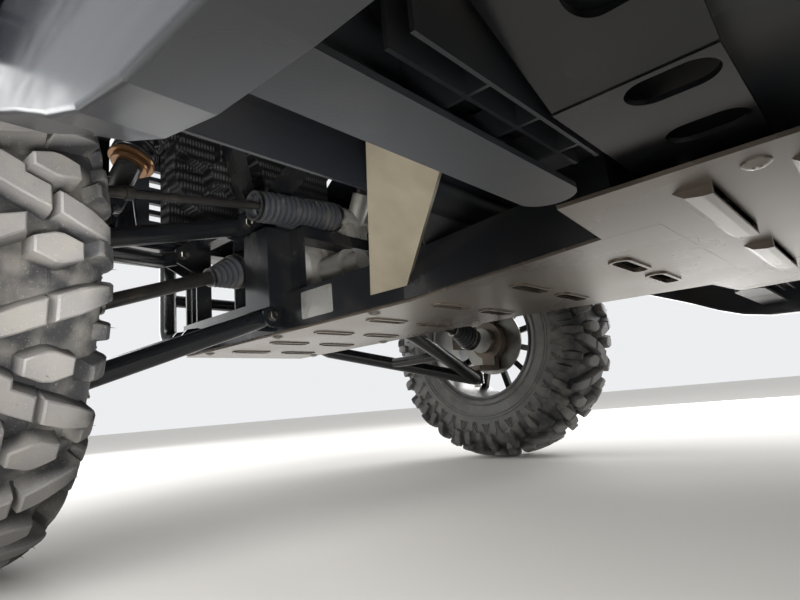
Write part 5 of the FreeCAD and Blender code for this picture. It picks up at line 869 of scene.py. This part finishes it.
pair("lamp_diodes", chips, led_chip, 40)
red_acrylic, tree = new_material("red_acrylic_lens")
surface(tree, linear("#8F1013"), 0.12, Normal=bumped(tree, waves(tree, 5, "Z"), 0.0012))
wear(red_acrylic, "tail_lamps")

# Radiator: brazed aluminium fins between flat tubes, painted black. The fins' crests are drawn paler and the
# gaps between them darker, as painted light and shade.
finned_core, tree = new_material("black_fins_painted_light_and_shade")
fins = maths(tree, "MULTIPLY", waves(tree, 4, "X"), waves(tree, 12, "Z"))
fin_painted_light_and_shade = mixed(tree, fins, linear("#0E0E0F"), linear("#4B4B4B"))
surface(tree, fin_painted_light_and_shade, 0.45, Normal=bumped(tree, fins, 0.0015))
wear(finned_core, "radiator")

# Steering wheel: a steel ring under moulded soft rubber, with a padded centre.
soft_grip = coated("moulded_soft_grip", "#171717", "#302D29", 80, 0.55, 0.95, 0.9, 0.1, 0.5, 0.65)
wear(soft_grip, "steering_wheel")
WHEEL_CENTRE = np.array([0.318, -0.160, 1.018])
COLUMN_UP = np.array([0, math.cos(math.radians(38)), math.sin(math.radians(38))])
pad_profile = [(0.004, 0), (0.004, 0.041), (0.010, 0.0425), (0.016, 0.040), (0.021, 0.032)]
pad_profile += [(0.0225, 0.022), (0.0215, 0.018), (0.0215, 0)]
wheel_pad = [turned_shell(pad_profile, WHEEL_CENTRE, COLUMN_UP, 48)]
piece("wheel_pad", wheel_pad, grained_plastic, "steering_wheel", 40)

# Cushions: polyurethane foam under coated woven cloth, sewn from a top and a side band, with piping
# along the seam. They are blown up a little by cloth simulation, so their sides pull in at the corners.
SEAT_X, SEAT_HALF, SEAT_GAP = 0.318, 0.25, 0.006
CUSHION_SIDE = (
    (0.124, 0.6405), (0.106, 0.690), (0.120, 0.748), (0.180, 0.770), (0.330, 0.756), (0.470, 0.765),
    (0.569, 0.765), (0.569, 0.6405),
)
BACK_SIDE = (
    (0.478, 0.7755), (0.558, 0.7755), (0.568, 0.900), (0.622, 1.238), (0.608, 1.322), (0.572, 1.338),
    (0.542, 1.296), (0.504, 1.100), (0.458, 0.882),
)
weave, tree = new_material("coated_woven_seat_cloth")
# Threads are really 0.7 mm apart and are drawn 1.6 mm apart so that they show
threads = maths(tree, "MULTIPLY", waves(tree, 1.6, "X"), waves(tree, 1.6, "DIAGONAL"))
cloth_colour = mixed(tree, threads, linear("#19191B"), linear("#323235"))
thread_relief = bumped(tree, threads, 0.0004, 0.6)
surface(tree, cloth_colour, 0.7, Normal=thread_relief, **{"Sheen Weight": 0.15})


def pad_shell(side_outline, x_low, x_high, shrink):
    """A side outline of (y, z), made smaller all round by shrink, carried across x and closed at its ends."""
    outline = np.array(side_outline, float)
    centre = outline.mean(0)
    outline = centre + (outline - centre) * (1 - shrink / np.linalg.norm(outline - centre, axis=1))[:, None]
    rows = []
    for x_at, scale in ((x_low, 0), (x_low, 1), (x_high, 1), (x_high, 0)):
        ring = centre + (outline - centre) * scale
        rows.append(np.column_stack([np.full(len(ring), x_at), ring]))
    return np.array(rows).reshape(-1, 3), grid_quads(4, len(outline), loop_columns=True)


def blown_pad(name, side_outline, cap_mm):
    """A cushion: the pad's outline remeshed at 8 mm, blown up by cloth pressure and its swelling capped."""
    x_low, x_high = SEAT_X - SEAT_HALF + SEAT_GAP, SEAT_X + SEAT_HALF - SEAT_GAP
    pad = piece(name, [pad_shell(side_outline, x_low, x_high, SEAT_GAP)], weave, "root", 60)
    bpy.context.view_layer.objects.active = pad
    remesh = pad.modifiers.new("remesh", "REMESH")
    remesh.mode = "VOXEL"
    remesh.voxel_size = 0.008
    smooth = pad.modifiers.new("soften", "SMOOTH")
    smooth.iterations = 6
    for modifier in ("remesh", "soften"):
        bpy.ops.object.modifier_apply(modifier=modifier)
    rest_points = np.empty(len(pad.data.vertices) * 3)
    pad.data.vertices.foreach_get("co", rest_points)
    cloth = pad.modifiers.new("cloth", "CLOTH")
    cloth.settings.use_pressure = True
    cloth.settings.uniform_pressure_force = 4
    cloth.settings.effector_weights.gravity = 0
    last_frame = 20
    cloth.point_cache.frame_start = 1
    cloth.point_cache.frame_end = last_frame
    for step in range(1, last_frame + 1):
        bpy.context.scene.frame_set(step)
    bpy.ops.object.modifier_apply(modifier="cloth")
    bpy.context.scene.frame_set(1)
    swollen = np.empty_like(rest_points)
    pad.data.vertices.foreach_get("co", swollen)
    move = (swollen - rest_points).reshape(-1, 3)
    far = np.linalg.norm(move, axis=1)[:, None]
    move = move * np.minimum(1, cap_mm / 1000 / np.maximum(far, 1e-9))
    pad.data.vertices.foreach_set("co", rest_points + move.reshape(-1))
    finer = pad.modifiers.new("finer", "SUBSURF")
    finer.levels = finer.render_levels = 1
    bpy.ops.object.modifier_apply(modifier="finer")
    pad.data.materials.clear()
    pad.data.materials.append(weave)
    pad.data.shade_smooth()
    return pad


def other_side(pad, name):
    """The same pad on the vehicle's other side."""
    mesh = pad.data.copy()
    mesh.name = name
    mesh.transform(Matrix.Diagonal((-1, 1, 1, 1)))
    mesh.flip_normals()
    twin = bpy.data.objects.new(name, mesh)
    bpy.context.scene.collection.objects.link(twin)
    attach(twin, "root")
    return twin


def piping(name, pad, outline, normal_push):
    """Piping on a pad: a 6 mm round cord carried along a closed path drawn onto the pad's surface."""
    skin = BVHTree.FromObject(pad, bpy.context.evaluated_depsgraph_get())
    path = np.array([np.array(skin.find_nearest(Vector(point))[0]) for point in outline])
    cord = swept_shell(path, 0.0032, 8, normal_push, ring=True)
    return pair(name, [cord], piping_vinyl, 60)


def squarish(wave):
    """A sine or cosine that stays near its ends for longer: sign(w) |w|^0.35."""
    return np.sign(wave) * np.abs(wave) ** 0.35


piping_vinyl = coated("welted_vinyl_piping", "#5A5A5C", "#3A3733", 40, 0.6, 0.95, 1, 0.02, 0.4, 0.55)
cushion_left = blown_pad("cushion_left", CUSHION_SIDE, 6)
back_left = blown_pad("backrest_left", BACK_SIDE, 6)
for pad, name, node in (
    (cushion_left, "cushion_right", "seat_cushions"),
    (back_left, "backrest_right", "seat_backs"),
):
    twin = other_side(pad, name)
    for one in (pad, twin):
        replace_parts(one, node)
t = np.linspace(0, 2 * math.pi, 200, endpoint=False)
for name, pad, middle, half_long, side_way, up_way, push in (
    ("cushion_piping", cushion_left, (SEAT_X, 0.315, 0.765), 0.17, (1, 0, 0), (0, 1, 0), (0, 0, 1)),
    ("backrest_piping", back_left, (SEAT_X, 0.500, 1.09), 0.19, (1, 0, 0), (0, 0.17, 0.985), (0, -1, 0.17)),
):
    across = squarish(np.cos(t))[:, None] * np.array(side_way) * (SEAT_HALF - 0.035)
    along_pad = squarish(np.sin(t))[:, None] * np.array(up_way) * half_long
    piping(name, pad, np.array(middle) + across + along_pad, push)

# Dashboard fittings: a round instrument, a row of rocker switches, four round vents, and a grab bar
# of bent tube for the passenger.
FACE_WAY = np.array([0, 0.9886, -0.1507])


def on_face(x_at, z_at):
    """A point on the dashboard's face, which leans back as it rises."""
    return np.array([x_at, -0.420 + (z_at - 0.704) * 0.1538, z_at])


bezel = [(0, 0.030), (0, 0.034), (0.006, 0.034), (0.008, 0.032), (0.004, 0.029), (0.001, 0.028)]
vent_shells = []
for x_at in (-0.50, -0.10, 0.10, 0.52):
    vent = on_face(x_at, 0.805)
    vent_shells.append(turned_shell(bezel, vent, FACE_WAY, 40, ring=True))
    for up_by in (-0.016, 0, 0.016):
        half_slat = math.sqrt(0.029**2 - up_by**2)
        slat = np.linspace([-half_slat, 0, up_by], [half_slat, 0, up_by], 6) + vent + FACE_WAY * 0.003
        vent_shells.append(swept_shell(slat, 0.0016, 6, (0, 0, 1)))
piece("dash_vents", vent_shells, grained_plastic, "root", 40)
switch_shells = []
for column in range(5):
    middle = on_face(0.155 - 0.034 * column, 0.748)
    switch = plate_shell(middle, (-1, 0, 0), (0, 0.1507, 0.9886), 0.012, 0.020, 0.003, 0.006, 0.002)
    switch_shells.append(switch)
piece("rocker_switches", switch_shells, boot_rubber, "root", 40)
dial_centre = np.array([0.318, -0.345, 0.962])
dial_way = np.array([0, 0.62, 0.785])
dial_way = dial_way / np.linalg.norm(dial_way)
pod = [(-0.03, 0), (-0.03, 0.048), (0.0, 0.056), (0.010, 0.056), (0.012, 0.052), (0.004, 0.048)]
pod += [(0.002, 0.046), (0.002, 0)]
instrument_pod = [turned_shell(pod, dial_centre, dial_way, 56)]
piece("instrument_pod", instrument_pod, grained_plastic, "root", 40)
dial_u = np.array([1.0, 0, 0])
dial_v = np.cross(dial_way, dial_u)
mark_shells = []
for angle in np.radians(np.linspace(-130, 130, 14)):
    out_way = math.sin(angle) * dial_u - math.cos(angle) * dial_v
    tick = np.linspace(dial_centre + out_way * 0.037, dial_centre + out_way * 0.043, 3) + dial_way * 0.0024
    mark_shells.append(swept_shell(tick, 0.0008, 6, dial_way))
needle_way = math.sin(-2.0) * dial_u - math.cos(-2.0) * dial_v
needle = dial_centre + dial_way * 0.004 + np.linspace(-0.006, 0.036, 4)[:, None] * needle_way
mark_shells.append(swept_shell(needle, [0.0022, 0.0016, 0.0012, 0.0006], 6, dial_way))
piece("dial_marks", mark_shells, led_chip, "root", 40)


def rounded_path(corners, count):
    """A smooth path through the corners' own control polygon: a quadratic B-spline, clamped at both ends."""
    corners = np.array(corners, float)
    mids = (corners[:-1] + corners[1:]) / 2
    t = np.linspace(0, 1, count)[:, None]
    knots = np.concatenate([[corners[0]], mids[1:-1], [corners[-1]]])
    path = []
    for first, control, last in zip(knots[:-1], corners[1:-1], knots[1:]):
        path.append((1 - t) ** 2 * first + 2 * t * (1 - t) * control + t**2 * last)
    return np.concatenate([part[:-1] for part in path] + [path[-1][-1:]])


# Half of the bar as distance from its middle, y and z; the other half mirrors it
BAR_X = -0.32
HALF_BAR = ((0.18, -0.375, 0.905), (0.18, -0.330, 0.935), (0.17, -0.292, 0.958), (0.12, -0.285, 0.965))
bar_line = [(BAR_X - by, y, z) for by, y, z in HALF_BAR]
bar_line += [(BAR_X + by, y, z) for by, y, z in HALF_BAR[::-1]]
grab_bar = [swept_shell(rounded_path(bar_line, 8), 0.012, 16, (0, 0.5, 1))]
piece("grab_bar", grab_bar, powder_coat, "root", 50)

# Door latches and tailgate handles: moulded black. Bed hooks: bent rod, zinc plated.
PADDLE = ((0.781, 0.512), (0.795, 0.520), (0.797, 0.545), (0.795, 0.570), (0.781, 0.578))
handle = [plate_shell((0.7801, 0.545, 0.870), (0, 1, 0), (0, 0, 1), 0.045, 0.020, 0.008, 0.004, 0.002)]
handle.append(swept_shell(rounded_path([(x, y, 0.870) for x, y in PADDLE], 8), 0.006, 12, (0, 0, 1)))
for side_name, side in (("left", 1), ("right", -1)):
    door = "door_" + side_name
    piece("door_latch_" + side_name, on_side(handle, side), grained_plastic, door, 40)
LOOP = ((0.5325, -0.03), (0.515, -0.03), (0.510, 0), (0.515, 0.03), (0.5325, 0.03))
hook_shells = []
for y_at in (0.80, 1.30):
    hook_line = rounded_path([(x, y_at + by, 0.985) for x, by in LOOP], 8)
    hook_shells.append(swept_shell(hook_line, 0.005, 10, (0, 0, 1)))
pair("bed_tie_loops", hook_shells, zinc_steel, 50, "cargo_bed")
gate_shells = [plate_shell((0.46, 1.4752, 1.03), (-1, 0, 0), (0, 0, 1), 0.035, 0.016, 0.006, 0.004, 0.002)]
pair("gate_latches", gate_shells, grained_plastic, 40, "tailgate")

# Roof: three pressed ribs stand along the panel, and saddle clamps hold it to the cage.
RIB_STEPS = 40
rib_radii = np.interp(np.arange(RIB_STEPS), [0, 3, 36, 39], [0.002, 0.009, 0.009, 0.002])
rib_shells = []
for x_at in (-0.36, 0.0, 0.36):
    crown = 1.930 - 0.0445 * (x_at / 0.61) ** 2
    rib = np.linspace([x_at, -0.28, crown - 0.0095], [x_at, 0.67, crown - 0.0095], RIB_STEPS)
    rib_shells.append(swept_shell(rib, rib_radii, 16, (0, 0, 1)))
piece("roof_ribs", rib_shells, body_plastic, "root", 60)
saddle = [(0, 0.0242), (0, 0.0262), (0.024, 0.0262), (0.024, 0.0242)]
saddles = [(0.552, y_at, 1.878) for y_at in (-0.10, 0.20, 0.50)]
saddle_shells = [turned_shell(saddle, place, (0, 1, 0), 32, ring=True) for place in saddles]
pair("roof_saddles", saddle_shells, zinc_steel, 40)
